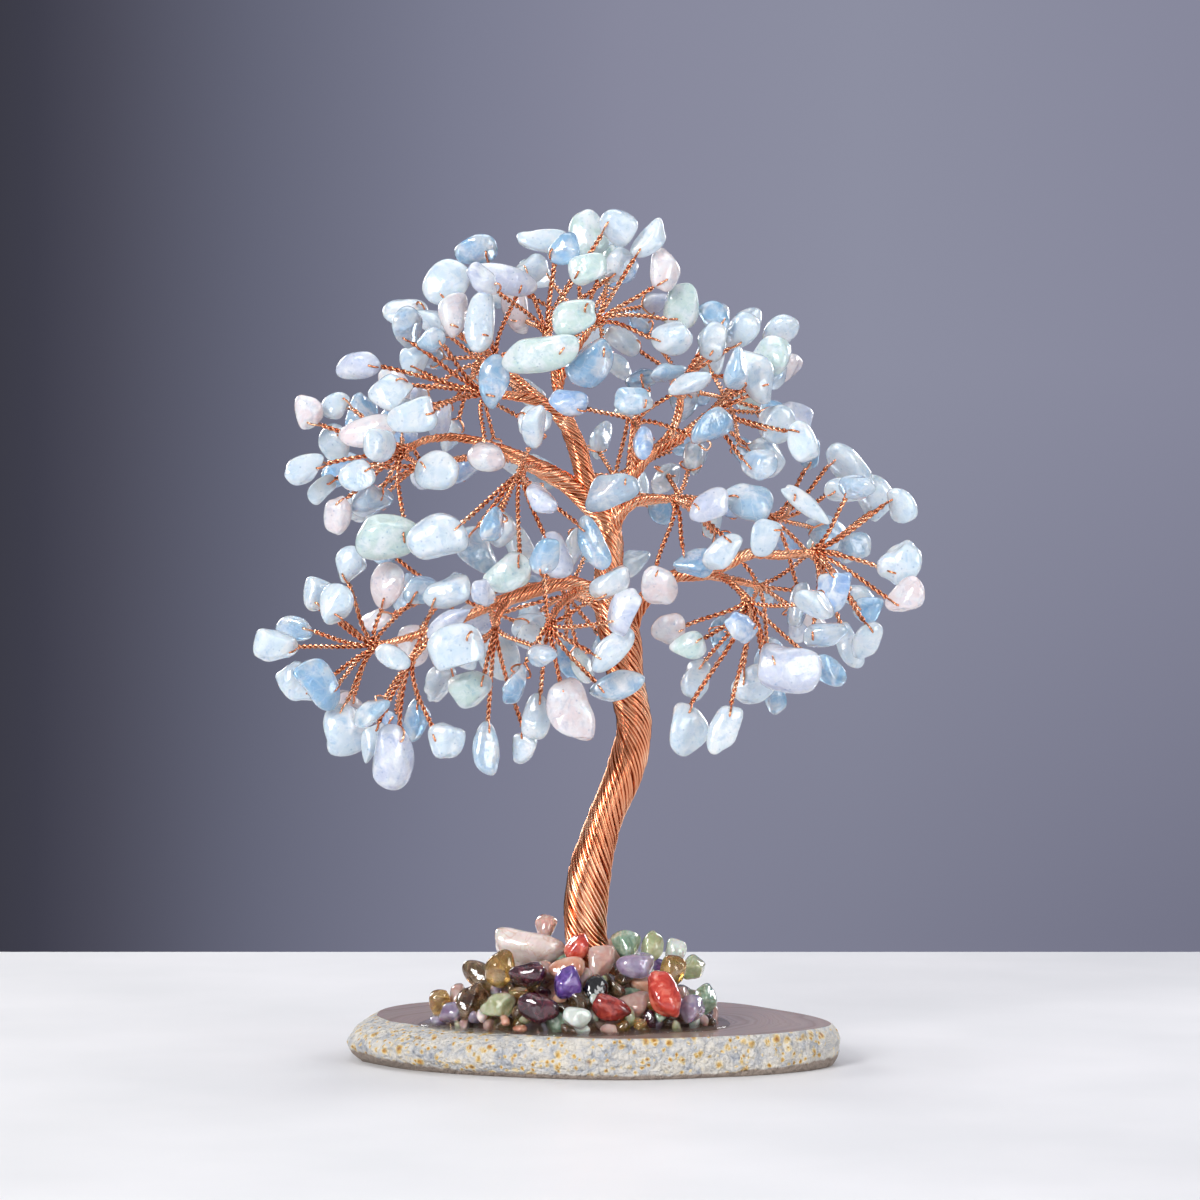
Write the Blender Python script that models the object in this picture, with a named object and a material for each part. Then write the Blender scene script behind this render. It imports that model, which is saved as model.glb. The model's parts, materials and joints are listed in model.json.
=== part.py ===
"""Wire tree sculpture: a copper wire tree with drilled aquamarine chips on its twigs, standing in a
heap of tumbled stones that clear resin holds on an agate slice.

Metres, +Z up, origin in the middle of the slice's flat underside. The front of the tree faces -Y.
Places on the tree are written in millimetres as (x, y, height above the slice's polished face).
"""

import math
import random
from collections import namedtuple

import bmesh
import bpy
from mathutils import Matrix, Vector
from mathutils.geometry import intersect_line_line

MM = 0.001

# Agate slice
SLICE_THICKNESS = 8.0 * MM
SLICE_FOOT_INSET = 1.2 * MM  # the sawn underside stands this far inside the widest outline
SLICE_WIDEST_SHARE = 0.45  # of the thickness, where the rind bulges most

# Resin
RESIN_FILM = 0.6 * MM  # the puddle under and around the stones
RESIN_DOME = 13.0 * MM  # height of the resin round the trunk
RESIN_HALF_LENGTH = 33.5 * MM
RESIN_HALF_DEPTH = 24.0 * MM
RESIN_CENTRE = Vector((-4.5 * MM, -1.0 * MM, 0.0))
RESIN_SIDES = 22
RESIN_PROFILE = [(0.0, 1.0), (0.3, 0.84), (0.5, 0.58), (0.7, 0.26), (0.86, 0.0), (1.0, 0.0)]

# Copper wire
WIRE = 0.5 * MM  # one strand
TWIG_RADIUS = 0.95 * WIRE  # two strands twisted together
TRUNK_GIRTH = 1.0  # multiplies the radii of the trunk and the boughs
TWIG_ROOT_RADIUS = 0.7 * WIRE  # where the strands lie close together inside the knot
KNOT_RADIUS = 1.8 * MM  # where the twigs of a spray leave their bough

# Chips
CHIP_LENGTH = 8.4 * MM
CHIP_WIDTH = 6.0 * MM
CHIP_FLATNESS = 0.64  # thickness over width
HOLE_SHARE = 0.28  # of the length, from the middle to the drilled hole
TWIG_REACH = (15 * MM, 21 * MM)  # from the knot to the middle of a chip
TWIGS_PART = 3.5 * MM  # from the knot, where its twigs have come clear of each other
FOLD_LIMIT = -0.62  # the cosine of the sharpest turn from a bough into a twig

# Gaps
SEAT_GAP = 0.3 * MM  # between pieces that rest on each other
SEAT_GROWTH = 2.4 * SEAT_GAP  # by which a stone's seat in the resin is longer, wider and deeper than it
AIR_GAP = 0.45 * MM  # the least between one spray and the next
DEPTH_STEP = 1.5 * MM  # by which a chip placed by hand is moved back or forward until it is clear
DEPTH_TRIES = 24
TRIES = 60  # for each further chip

# Where the foot of the trunk and the lowest stones stand
STANDING = SLICE_THICKNESS + RESIN_FILM + 2 * SEAT_GAP

LIMB_SIDES = 5
TRUNK_SIDES = 8
LIMB_STEP = 8.0 * MM  # between the rings of a limb
SETTLING_ROUNDS = 160
SETTLING_EASE = (0.7, 1.0, 0.4)  # how readily a crowded stone gives way across, back and up
STONE_GIRTH = 0.9  # a tumbled stone's rounded girth over the width of its box
HEAP_REACH = 0.88  # how far out a stone's middle may lie, over the way to the resin's edge
SEED = 5

# Outline of the slice seen from above, with how far the polished face stands in from it
SLICE_OUTLINE = [
    (-51.3, 0.0, 9.0),
    (-43.0, -12.0, 10.0),
    (-33.0, -19.5, 9.0),
    (-18.0, -25.5, 5.0),
    (-3.0, -28.6, 2.0),
    (9.0, -28.8, 1.2),
    (21.0, -25.6, 1.0),
    (34.5, -20.5, 1.2),
    (44.5, -12.5, 2.0),
    (48.2, -4.0, 2.0),
    (45.0, 8.0, 1.2),
    (38.2, 20.0, 1.0),
    (27.0, 34.5, 1.2),
    (8.0, 38.5, 1.5),
    (-16.0, 39.0, 1.5),
    (-35.0, 37.0, 2.0),
    (-45.5, 27.0, 2.5),
    (-50.5, 13.0, 5.0),
]

# Limbs: where each runs, as (x, y, height, radius). The first point lies inside the limb it leaves.
LIMBS = {
    "trunk": [
        (-0.6, 0.0, 0.0, 4.6),
        (-1.4, 0.0, 10.0, 4.3),
        (-2.9, 0.0, 17.0, 4.3),
        (-2.2, 0.0, 27.6, 4.4),
        (0.6, 0.0, 38.2, 3.6),
        (5.0, 0.0, 49.0, 3.8),
        (6.8, 0.0, 58.0, 3.6),
        (5.2, 0.0, 67.0, 3.7),
        (4.0, 0.0, 76.0, 4.2),
        (2.4, 0.0, 83.0, 3.8),
        (1.8, 0.0, 89.0, 3.0),
        (2.1, 0.0, 94.4, 2.6),
        (1.2, 0.0, 99.8, 2.8),
    ],
    "crown_bough": [
        (1.2, 0.0, 98.0, 2.4),
        (-2.0, 0.0, 104.8, 2.2),
        (-3.8, 0.0, 110.4, 2.0),
        (-5.2, 1.0, 115.8, 2.0),
        (-7.4, 1.0, 119.6, 1.7),
    ],
    "upper_left": [(-6.6, 1.0, 118.4, 1.5), (-10.2, 0.0, 121.6, 1.3), (-16.0, -1.0, 123.7, 1.1), (-23.6, -2.0, 124.4, 0.9)],
    "top_left": [(-10.2, 0.0, 121.6, 1.2), (-14.5, 2.5, 125.6, 1.0), (-21.4, 4.0, 131.8, 0.8)],
    "top": [(-7.2, 1.0, 119.0, 1.4), (-8.4, 0.0, 125.8, 1.2), (-9.6, -1.0, 131.8, 1.0), (-10.8, -2.0, 137.0, 0.9)],
    "top_right": [(-8.4, 0.0, 125.8, 1.1), (-4.8, -2.0, 133.0, 0.9), (-0.2, -4.0, 139.2, 0.8)],
    "top_back": [(-8.4, 0.0, 125.8, 1.1), (-6.5, 9.0, 131.5, 0.9), (-4.0, 20.0, 139.0, 0.8)],
    "upper_left_back": [(-10.2, 0.0, 121.6, 1.1), (-16.5, 11.0, 126.0, 0.9), (-25.0, 22.0, 132.5, 0.8)],
    "left_bough": [
        (1.0, 0.0, 98.6, 2.3),
        (-4.8, -1.0, 105.0, 2.1),
        (-9.2, -3.0, 107.8, 2.0),
        (-15.4, -5.0, 111.0, 1.6),
        (-20.0, -6.0, 113.2, 1.2),
    ],
    "centre_left": [(-11.5, -4.0, 109.2, 1.3), (-14.0, -8.0, 109.6, 1.1), (-15.8, -12.0, 108.4, 0.9)],
    "left": [(-18.6, -5.8, 112.6, 1.2), (-26.0, -6.0, 115.0, 1.0), (-33.0, -6.0, 115.2, 0.9), (-39.2, -6.0, 112.8, 0.8)],
    "left_back": [(-15.4, -5.0, 111.0, 1.1), (-25.0, 9.0, 112.0, 0.9), (-37.0, 22.0, 111.0, 0.8)],
    "right_bough": [(1.6, 0.0, 97.5, 2.0), (4.8, -1.0, 105.2, 1.6), (7.6, -2.0, 109.8, 1.4), (12.0, -1.0, 113.8, 1.2)],
    "centre": [(7.0, -1.8, 108.8, 1.0), (6.9, -5.0, 113.6, 0.9), (6.8, -9.0, 118.8, 0.8)],
    "right_top": [(10.5, -1.5, 112.4, 1.1), (15.2, 2.0, 118.4, 1.0), (16.4, 6.0, 127.2, 0.8)],
    "right_upper": [(10.5, -1.5, 112.4, 1.1), (16.6, -4.0, 115.6, 0.9), (20.8, -6.0, 119.8, 0.8)],
    "right_back": [(10.5, -1.5, 112.4, 1.1), (17.5, 11.0, 117.5, 0.9), (26.0, 22.0, 124.5, 0.8)],
    "right_inner": [(1.8, 0.0, 97.0, 1.4), (6.2, -2.5, 102.2, 1.1), (11.0, -5.0, 103.4, 0.9), (15.4, -7.0, 103.0, 0.8)],
    "right_mid": [(6.2, -2.5, 102.2, 1.0), (17.0, 3.0, 103.6, 0.9), (28.0, 7.0, 102.0, 0.9), (35.6, 8.0, 99.2, 0.8)],
    "mid_back": [(1.8, 0.0, 89.0, 1.9), (2.4, 9.0, 97.0, 1.4), (3.0, 19.0, 104.0, 1.1), (3.0, 29.0, 109.0, 0.9)],
    "right_outer": [
        (3.8, 0.0, 77.0, 2.4),
        (9.2, -1.0, 83.4, 1.7),
        (14.5, -2.0, 87.8, 1.5),
        (22.6, -3.0, 88.6, 1.4),
        (28.2, -3.0, 92.2, 1.3),
        (35.0, -3.5, 92.0, 1.1),
        (42.8, -4.0, 92.6, 0.9),
    ],
    "low_right": [(22.6, -3.0, 88.6, 1.1), (26.0, -8.0, 86.4, 0.9), (29.6, -13.0, 82.6, 0.8)],
    "low_right_back": [(14.5, -2.0, 87.8, 1.2), (23.0, 11.0, 88.0, 1.0), (33.0, 23.0, 86.0, 0.8)],
    "low_left_bough": [
        (2.4, 0.0, 80.5, 2.4),
        (-4.0, -1.5, 86.2, 1.7),
        (-11.0, -3.0, 85.6, 1.5),
        (-18.4, -4.0, 83.2, 1.5),
        (-23.0, -5.0, 81.6, 1.2),
    ],
    "low_left_outer": [(-21.5, -4.8, 82.0, 1.2), (-29.5, -5.0, 78.6, 1.0), (-37.5, -4.5, 75.8, 0.9), (-45.4, -4.0, 73.8, 0.8)],
    "low_left_inner": [(-29.5, -5.0, 78.6, 1.0), (-34.5, -9.0, 75.2, 0.9), (-37.4, -13.0, 70.6, 0.8)],
    "low_mid_left": [(-18.4, -4.0, 83.2, 1.1), (-20.0, -8.0, 80.6, 0.9), (-20.6, -12.0, 77.2, 0.8)],
    "low_centre": [(-3.0, -1.4, 85.6, 1.2), (-7.6, -8.0, 82.6, 0.9), (-10.2, -15.0, 78.0, 0.8)],
    "low_left_back": [(-11.0, -3.0, 85.6, 1.2), (-20.5, 10.0, 85.8, 1.0), (-31.0, 23.0, 84.6, 0.8)],
    "low_back": [(3.8, 0.0, 76.5, 1.9), (1.0, 9.0, 81.0, 1.3), (-4.0, 20.0, 83.6, 1.0), (-7.0, 31.0, 84.0, 0.8)],
}

# How many chips each spray has besides those placed by hand. A spray hangs at the end of its limb.
CHIP_COUNTS = {
    "top": 2,
    "top_left": 4,
    "top_right": 2,
    "top_back": 8,
    "upper_left": 2,
    "upper_left_back": 8,
    "left": 2,
    "left_back": 8,
    "centre_left": 3,
    "centre": 4,
    "right_top": 6,
    "right_upper": 3,
    "right_back": 8,
    "right_inner": 4,
    "right_mid": 4,
    "right_outer": 1,
    "mid_back": 8,
    "low_left_outer": 3,
    "low_left_inner": 3,
    "low_left_back": 8,
    "low_mid_left": 3,
    "low_centre": 2,
    "low_back": 8,
    "low_right": 2,
    "low_right_back": 8,
}

# Chips placed by hand, as they show from the front: (x, height, depth from the knot, length, width, lean)
PLACED_CHIPS = {
    "top": [
        (-11.3, 154.8, 0, 10.0, 4.8, -8),
        (-13.6, 149.6, 4, 6.4, 5.4, 10),
        (-7.2, 152.2, -6, 6.4, 6.2, 20),
        (-2.4, 156.1, -3, 10.2, 7.8, 100),
        (3.5, 157.0, 4, 7.0, 6.4, -30),
        (-2.4, 148.3, -9, 7.4, 5.6, 20),
        (3.7, 150.0, 2, 6.6, 5.4, 60),
    ],
    "top_left": [
        (-24.9, 153.7, 0, 8.2, 6.0, 0),
        (-30.6, 146.4, -4, 9.4, 8.0, 60),
        (-19.3, 147.0, -8, 13.4, 5.2, -15),
        (-23.6, 138.3, -14, 12.6, 5.6, 85),
        (-29.3, 139.6, -8, 9.2, 5.4, 85),
    ],
    "top_right": [
        (9.8, 154.4, 0, 8.6, 4.8, 40),
        (13.0, 148.8, -2, 8.6, 6.4, 80),
        (16.3, 141.8, 2, 9.2, 6.8, 80),
        (14.1, 134.8, -4, 7.6, 6.4, 20),
        (-11.5, 130.9, -14, 15.0, 6.6, 5),
        (-1.5, 129.2, -10, 10.0, 7.0, 45),
        (-5.0, 138.4, -12, 8.8, 6.4, 20),
    ],
    "upper_left": [
        (-38.8, 137.9, 2, 7.6, 6.8, 60),
        (-33.2, 134.4, -4, 5.4, 5.2, 0),
        (-37.5, 131.8, 2, 7.0, 5.6, 80),
        (-48.1, 129.7, 0, 8.8, 5.2, 10),
        (-41.0, 124.0, -6, 7.4, 6.8, 50),
        (-36.8, 119.2, -12, 9.2, 6.4, 10),
        (-20.8, 126.0, -12, 10.2, 5.8, 90),
        (-21.0, 115.8, -16, 14.4, 6.8, 50),
        (-12.8, 118.4, -8, 6.6, 5.6, 0),
    ],
    "left": [
        (-57.6, 120.3, 0, 6.6, 5.4, 90),
        (-52.5, 121.8, 4, 6.0, 5.0, 30),
        (-45.7, 116.4, -8, 10.8, 6.4, 0),
        (-53.0, 114.5, 2, 6.8, 6.6, 60),
        (-58.3, 108.9, -2, 8.0, 5.2, 20),
        (-55.6, 105.3, 0, 6.6, 3.6, 45),
        (-52.0, 99.9, 0, 7.4, 5.2, 85),
        (-47.9, 107.4, -6, 6.6, 5.6, 30),
        (-45.7, 102.4, -4, 7.6, 7.2, 45),
        (-41.3, 95.1, -12, 12.0, 8.4, 0),
        (-31.9, 108.4, -10, 8.2, 7.4, 0),
    ],
    "centre_left": [
        (-31.6, 95.6, -6, 11.2, 8.0, 12),
        (-24.4, 92.7, -2, 10.0, 6.8, -60),
        (-18.1, 88.3, -6, 9.4, 7.0, 20),
        (-8.9, 91.7, -4, 9.0, 6.0, -60),
        (-1.6, 94.1, -6, 10.6, 4.8, -62),
        (-20.0, 97.8, 4, 7.6, 6.0, -60),
    ],
    "low_left_outer": [
        (-56.4, 84.0, 0, 6.2, 5.8, 70),
        (-52.0, 82.2, -6, 7.8, 6.2, 80),
        (-61.0, 77.4, 0, 7.2, 4.8, 0),
        (-55.2, 66.8, -8, 10.6, 7.0, -45),
        (-59.8, 66.3, 2, 8.8, 6.8, -50),
        (-50.4, 57.6, -4, 10.0, 8.6, -70),
        (-50.0, 90.2, 2, 7.2, 6.0, 60),
        (-42.0, 85.9, -6, 8.8, 6.4, 80),
    ],
    "low_left_inner": [
        (-39.7, 52.5, -6, 12.4, 7.6, 85),
        (-44.8, 55.1, 2, 8.0, 4.2, 80),
        (-30.0, 55.6, -2, 6.8, 6.6, 0),
        (-36.4, 59.2, 6, 8.0, 5.0, 70),
        (-29.7, 84.4, -4, 9.2, 5.6, 25),
        (-29.2, 78.6, -8, 9.6, 4.4, 32),
    ],
    "low_mid_left": [
        (-27.8, 74.2, -10, 10.0, 8.0, 20),
        (-20.0, 71.8, -8, 9.4, 8.0, -60),
        (-22.3, 54.0, -2, 10.0, 5.2, 88),
        (-15.2, 54.0, 0, 6.4, 5.6, 70),
        (-25.0, 65.8, -2, 8.0, 6.6, 20),
    ],
    "low_centre": [
        (-12.4, 60.2, 4, 8.4, 5.4, 80),
        (-5.8, 61.2, -4, 12.0, 8.2, -65),
        (2.4, 73.4, -4, 10.2, 5.2, 38),
        (3.4, 66.3, 2, 10.4, 5.4, 25),
        (2.4, 86.2, 0, 8.4, 5.6, 42),
        (4.4, 81.1, -6, 9.0, 5.8, 60),
        (-13.6, 75.8, 6, 6.0, 5.0, 0),
    ],
    "centre": [
        (6.7, 122.0, -6, 7.4, 5.0, 0),
        (-6.3, 121.4, -4, 7.4, 5.2, -10),
        (3.2, 113.2, 12, 8.8, 6.4, 80),
        (2.2, 104.5, -6, 10.6, 6.6, 12),
    ],
    "right_upper": [
        (30.8, 127.6, -4, 11.4, 6.8, -60),
        (34.2, 131.4, 4, 8.4, 7.6, 70),
        (35.1, 117.9, 0, 7.4, 7.2, 30),
        (39.5, 114.0, 0, 8.0, 5.6, -60),
        (31.4, 109.8, -6, 6.8, 6.0, 30),
    ],
    "right_top": [
        (23.0, 140.2, -2, 7.0, 6.2, -30),
        (28.8, 137.3, 0, 7.6, 6.0, 70),
        (22.5, 134.8, -8, 7.4, 4.8, 80),
    ],
    "right_inner": [
        (21.3, 101.4, -10, 8.4, 5.6, 32),
        (29.3, 102.4, -6, 9.2, 7.8, 0),
        (11.4, 85.9, -8, 8.2, 6.8, -65),
        (18.6, 90.7, -6, 7.4, 5.4, -10),
        (24.0, 92.6, -2, 8.4, 5.0, 50),
    ],
    "right_mid": [
        (40.7, 101.9, -18, 11.0, 3.6, -38),
        (32.2, 95.6, -16, 7.4, 6.4, 40),
        (42.6, 112.6, 0, 6.2, 3.6, 80),
        (49.7, 110.1, 0, 10.2, 6.2, -40),
        (49.0, 105.0, -8, 8.2, 4.8, 0),
    ],
    "right_outer": [
        (55.5, 104.3, 4, 9.0, 6.8, -60),
        (59.8, 101.9, 0, 7.2, 5.6, -50),
        (60.3, 90.7, 0, 8.4, 7.6, 60),
        (60.7, 83.6, -4, 8.0, 6.2, 50),
        (51.1, 93.6, 8, 7.0, 6.4, 60),
        (44.2, 76.0, -10, 8.4, 5.0, 0),
        (45.5, 85.2, -10, 8.0, 6.4, 70),
        (52.9, 75.2, -4, 7.6, 5.6, 70),
        (49.8, 74.0, 4, 9.4, 4.4, -70),
        (54.2, 81.0, 4, 6.0, 5.2, 0),
    ],
    "low_right": [
        (36.8, 69.6, -6, 11.8, 8.6, -10),
        (30.4, 66.6, 2, 9.0, 7.6, 0),
        (45.1, 69.0, 2, 7.6, 5.0, -35),
        (34.7, 63.4, 6, 5.4, 4.6, -50),
        (29.5, 60.0, 0, 5.6, 4.6, -60),
        (24.0, 57.8, 2, 9.8, 5.4, 68),
        (17.1, 57.8, -2, 10.0, 8.2, 100),
        (19.1, 67.4, 2, 8.0, 5.4, 75),
        (17.1, 73.9, -6, 6.6, 5.2, 20),
        (13.4, 77.4, 2, 6.2, 6.0, 0),
    ],
}

# Stones of the heap: where each lies, as shares of the resin's half-length, half-depth and height,
# how long, wide and thick it is in millimetres, its heading seen from above, its pitch and its mineral
STONES = {
    "milky_quartz": ((-0.227, -0.208, 1.071), (16.4, 7.8, 7.2), 4, -6, "milky_quartz"),
    "rose_quartz_small": ((-0.194, 0.125, 1.354), (6.0, 5.2, 4.8), 40, 50, "rose_quartz"),
    "carnelian_upright": ((-0.015, -0.25, 1.12), (6.4, 4.8, 4.4), 20, 70, "carnelian"),
    "green_aventurine": ((0.29, -0.146, 1.089), (7.4, 6.2, 5.6), 70, 20, "aventurine"),
    "pale_aventurine": ((0.433, -0.042, 1.071), (7.2, 5.2, 4.6), 10, 60, "prehnite"),
    "moonstone": ((0.558, 0.0, 0.985), (6.4, 4.8, 4.4), 60, 65, "moonstone"),
    "peach_agate": ((-0.081, -0.458, 0.812), (8.4, 5.2, 4.8), 8, 4, "carnelian_pale"),
    "garnet": ((-0.272, -0.5, 0.757), (8.8, 5.6, 4.9), 0, 6, "garnet"),
    "citrine": ((-0.424, -0.354, 0.831), (8.2, 6.4, 5.6), 60, 60, "citrine"),
    "smoky_quartz_splinter": ((-0.576, -0.125, 0.646), (9.4, 5.4, 5.0), 150, 30, "smoky_quartz"),
    "amethyst": ((-0.036, -0.667, 0.554), (7.6, 6.2, 5.6), 0, 80, "amethyst"),
    "obsidian": ((0.099, -0.525, 0.585), (6.9, 5.8, 5.2), 30, 60, "obsidian"),
    "peach_moonstone": ((0.17, -0.417, 0.831), (7.9, 5.8, 5.2), 80, 70, "rose_quartz"),
    "pale_amethyst": ((0.313, -0.358, 0.831), (8.6, 5.7, 5.2), 15, 10, "amethyst_pale"),
    "honey_calcite": ((0.54, -0.275, 0.757), (7.6, 6.0, 5.4), 20, 60, "citrine"),
    "olive_quartz": ((0.672, -0.083, 0.738), (6.9, 5.6, 5.0), 40, 30, "prehnite"),
    "citrine_left": ((-0.812, -0.208, 0.277), (6.0, 5.2, 4.8), 70, 60, "citrine"),
    "brown_agate": ((-0.624, -0.417, 0.308), (8.4, 7.0, 6.0), 20, 40, "smoky_quartz"),
    "prehnite": ((-0.415, -0.65, 0.289), (8.2, 5.6, 5.0), 5, 4, "prehnite"),
    "garnet_low": ((-0.164, -0.733, 0.289), (9.4, 6.6, 5.8), 165, 18, "garnet"),
    "white_jade": ((-0.003, -0.9, 0.185), (6.9, 5.0, 4.4), 2, 0, "moonstone"),
    "red_jasper": ((0.152, -0.725, 0.258), (8.8, 5.9, 5.2), 10, -24, "red_jasper"),
    "coral_chip": ((0.499, -0.617, 0.431), (11.4, 6.8, 5.8), 130, 60, "carnelian"),
    "smoky_rose": ((0.349, -0.542, 0.326), (8.4, 6.4, 5.6), 160, 10, "rose_quartz"),
    "lilac_quartz": ((0.654, -0.558, 0.246), (6.8, 5.6, 5.0), 60, 20, "amethyst_pale"),
    "aventurine_right": ((0.749, -0.292, 0.308), (7.6, 6.2, 5.4), 50, 30, "aventurine"),
    "back_milky_quartz": ((0.224, 0.4, 0.88), (11.0, 7.4, 6.6), 10, 5, "milky_quartz"),
    "back_jasper": ((-0.134, 0.392, 0.738), (9.6, 6.8, 6.2), 150, 10, "red_jasper"),
    "back_amethyst": ((0.51, 0.35, 0.585), (9.4, 7.0, 6.4), 35, 10, "amethyst"),
    "back_citrine": ((-0.421, 0.225, 0.351), (9.2, 7.0, 6.2), 120, 12, "citrine"),
    "back_aventurine": ((0.134, 0.683, 0.351), (10.0, 7.0, 6.2), 175, 6, "aventurine"),
    "back_smoky_quartz": ((-0.224, 0.642, 0.338), (9.4, 6.8, 6.0), 20, 8, "smoky_quartz"),
}

COLOURS = {
    "copper": ((0.72, 0.32, 0.16, 1), 0.28, 1.0),
    "aquamarine": ((0.62, 0.78, 0.86, 1), 0.15, 0.0),
    "agate": ((0.45, 0.42, 0.42, 1), 0.25, 0.0),
    "resin": ((0.85, 0.84, 0.8, 1), 0.08, 0.0),
    "milky_quartz": ((0.86, 0.8, 0.76, 1), 0.2, 0.0),
    "rose_quartz": ((0.78, 0.6, 0.55, 1), 0.15, 0.0),
    "carnelian": ((0.75, 0.16, 0.1, 1), 0.15, 0.0),
    "carnelian_pale": ((0.75, 0.45, 0.36, 1), 0.15, 0.0),
    "aventurine": ((0.32, 0.42, 0.32, 1), 0.15, 0.0),
    "prehnite": ((0.56, 0.6, 0.42, 1), 0.15, 0.0),
    "moonstone": ((0.8, 0.84, 0.8, 1), 0.15, 0.0),
    "garnet": ((0.14, 0.05, 0.07, 1), 0.1, 0.0),
    "citrine": ((0.66, 0.5, 0.25, 1), 0.15, 0.0),
    "smoky_quartz": ((0.3, 0.2, 0.12, 1), 0.12, 0.0),
    "amethyst": ((0.3, 0.14, 0.5, 1), 0.12, 0.0),
    "amethyst_pale": ((0.58, 0.5, 0.62, 1), 0.12, 0.0),
    "obsidian": ((0.02, 0.02, 0.02, 1), 0.08, 0.0),
    "red_jasper": ((0.42, 0.05, 0.04, 1), 0.15, 0.0),
}

Chip = namedtuple("Chip", "hole middle along side length width")
Bar = namedtuple("Bar", "start end radius owner")


def on_slice(x, y, height):
    """A place on the tree, from millimetres above the slice's polished face."""
    return Vector((x * MM, y * MM, height * MM + STANDING))


def start_scene():
    """Clears the scene and makes the two collections."""
    for obj in list(bpy.data.objects):
        bpy.data.objects.remove(obj)
    made = []
    for name in ("Wire tree", "Joined shapes"):
        collection = bpy.data.collections.new(name)
        bpy.context.scene.collection.children.link(collection)
        made.append(collection)
    return made


def material(name):
    """The plain material of a piece."""
    found = bpy.data.materials.get(name)
    if found:
        return found
    colour, roughness, metallic = COLOURS[name]
    made = bpy.data.materials.new(name)
    made.use_nodes = True
    shader = made.node_tree.nodes["Principled BSDF"]
    shader.inputs["Base Color"].default_value = colour
    shader.inputs["Roughness"].default_value = roughness
    shader.inputs["Metallic"].default_value = metallic
    return made


def smooth_path(points, steps):
    """Catmull-Rom points through the given ones, each a tuple of numbers."""
    ends = [points[0], *points, points[-1]]
    path = []
    for a, b, c, d in zip(ends, ends[1:], ends[2:], ends[3:]):
        for i in range(steps):
            t = i / steps
            path.append(
                tuple(
                    0.5 * (2 * q + (r - p) * t + (2 * p - 5 * q + 4 * r - s) * t**2 + (3 * q - p - 3 * r + s) * t**3)
                    for p, q, r, s in zip(a, b, c, d)
                )
            )
    return [*path, points[-1]]


def limb_path(name):
    """(place, radius) along a limb, stopped short of the knot where it carries a spray."""
    points = LIMBS[name]
    spans = len(points) - 1
    length = sum((on_slice(*b[:3]) - on_slice(*a[:3])).length for a, b in zip(points, points[1:]))
    steps = max(1, round(length / LIMB_STEP / spans))
    path = [(on_slice(*p[:3]), p[3] * MM * TRUNK_GIRTH) for p in smooth_path(points, steps)]
    if name in CHIP_COUNTS:
        (before, _), (tip, radius) = path[-2:]
        back = (before - tip).normalized()
        path[-1] = (tip + back * (KNOT_RADIUS + SEAT_GAP), radius)
    return path


def knot_of(spray):
    """The middle of a spray's knot, and the direction in which its bough arrives."""
    points = LIMBS[spray]
    tip = on_slice(*points[-1][:3])
    return tip, (tip - on_slice(*points[-2][:3])).normalized()


def points_along(start, end):
    """Places along a bar, close enough together to measure from."""
    return [start.lerp(end, i / 4) for i in range(5)]


def off_bar(point, bar):
    """How far a point is from a bar's middle line."""
    run = bar.end - bar.start
    share = (point - bar.start).dot(run) / run.length_squared if run.length_squared else 0.0
    return (point - bar.start - run * min(1.0, max(0.0, share))).length


def apart(a, b):
    """How far apart the middle lines of two bars run."""
    crossing = intersect_line_line(a.start, a.end, b.start, b.end)
    if crossing and off_bar(crossing[0], a) < 0.01 * MM and off_bar(crossing[1], b) < 0.01 * MM:
        return (crossing[0] - crossing[1]).length
    return min(off_bar(a.start, b), off_bar(a.end, b), off_bar(b.start, a), off_bar(b.end, a))


def is_clear(bars, others):
    """Whether none of these bars comes nearer than the air gap to any of the others."""
    for bar in bars:
        for other in others:
            reach = bar.radius + other.radius + AIR_GAP
            far = reach + ((bar.end - bar.start).length + (other.end - other.start).length) / 2
            if ((bar.start + bar.end) / 2 - (other.start + other.end) / 2).length > far:
                continue
            if apart(bar, other) < reach:
                return False
    return True


def bars_of(chip, knot, owner):
    """The chip as a bar of its own width, and its twig from just outside the knot."""
    half = max(0.0, (chip.length - chip.width) / 2)
    twig = chip.hole - knot
    start = knot + twig.normalized() * min(twig.length, TWIGS_PART)
    return [
        Bar(chip.middle - chip.along * half, chip.middle + chip.along * half, chip.width / 2, owner),
        Bar(start, chip.hole, TWIG_RADIUS, owner),
    ]


def hung(middle, along, side, length, width, knot):
    """A chip turned so that its drilled end is the one nearer its knot."""
    if along.dot(middle - knot) < 0:
        along = -along
    side = (side - along * side.dot(along)).normalized()
    return Chip(middle - along * length * HOLE_SHARE, middle, along, side, length, width)


def leaves_room(chip, knot, bough):
    """Whether the chip's twig turns clear of the bough it comes from, and the chip stays off the knot."""
    twig = chip.hole - knot
    return twig.length > chip.width / 2 + 2 * KNOT_RADIUS and twig.normalized().dot(bough) > FOLD_LIMIT


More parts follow.
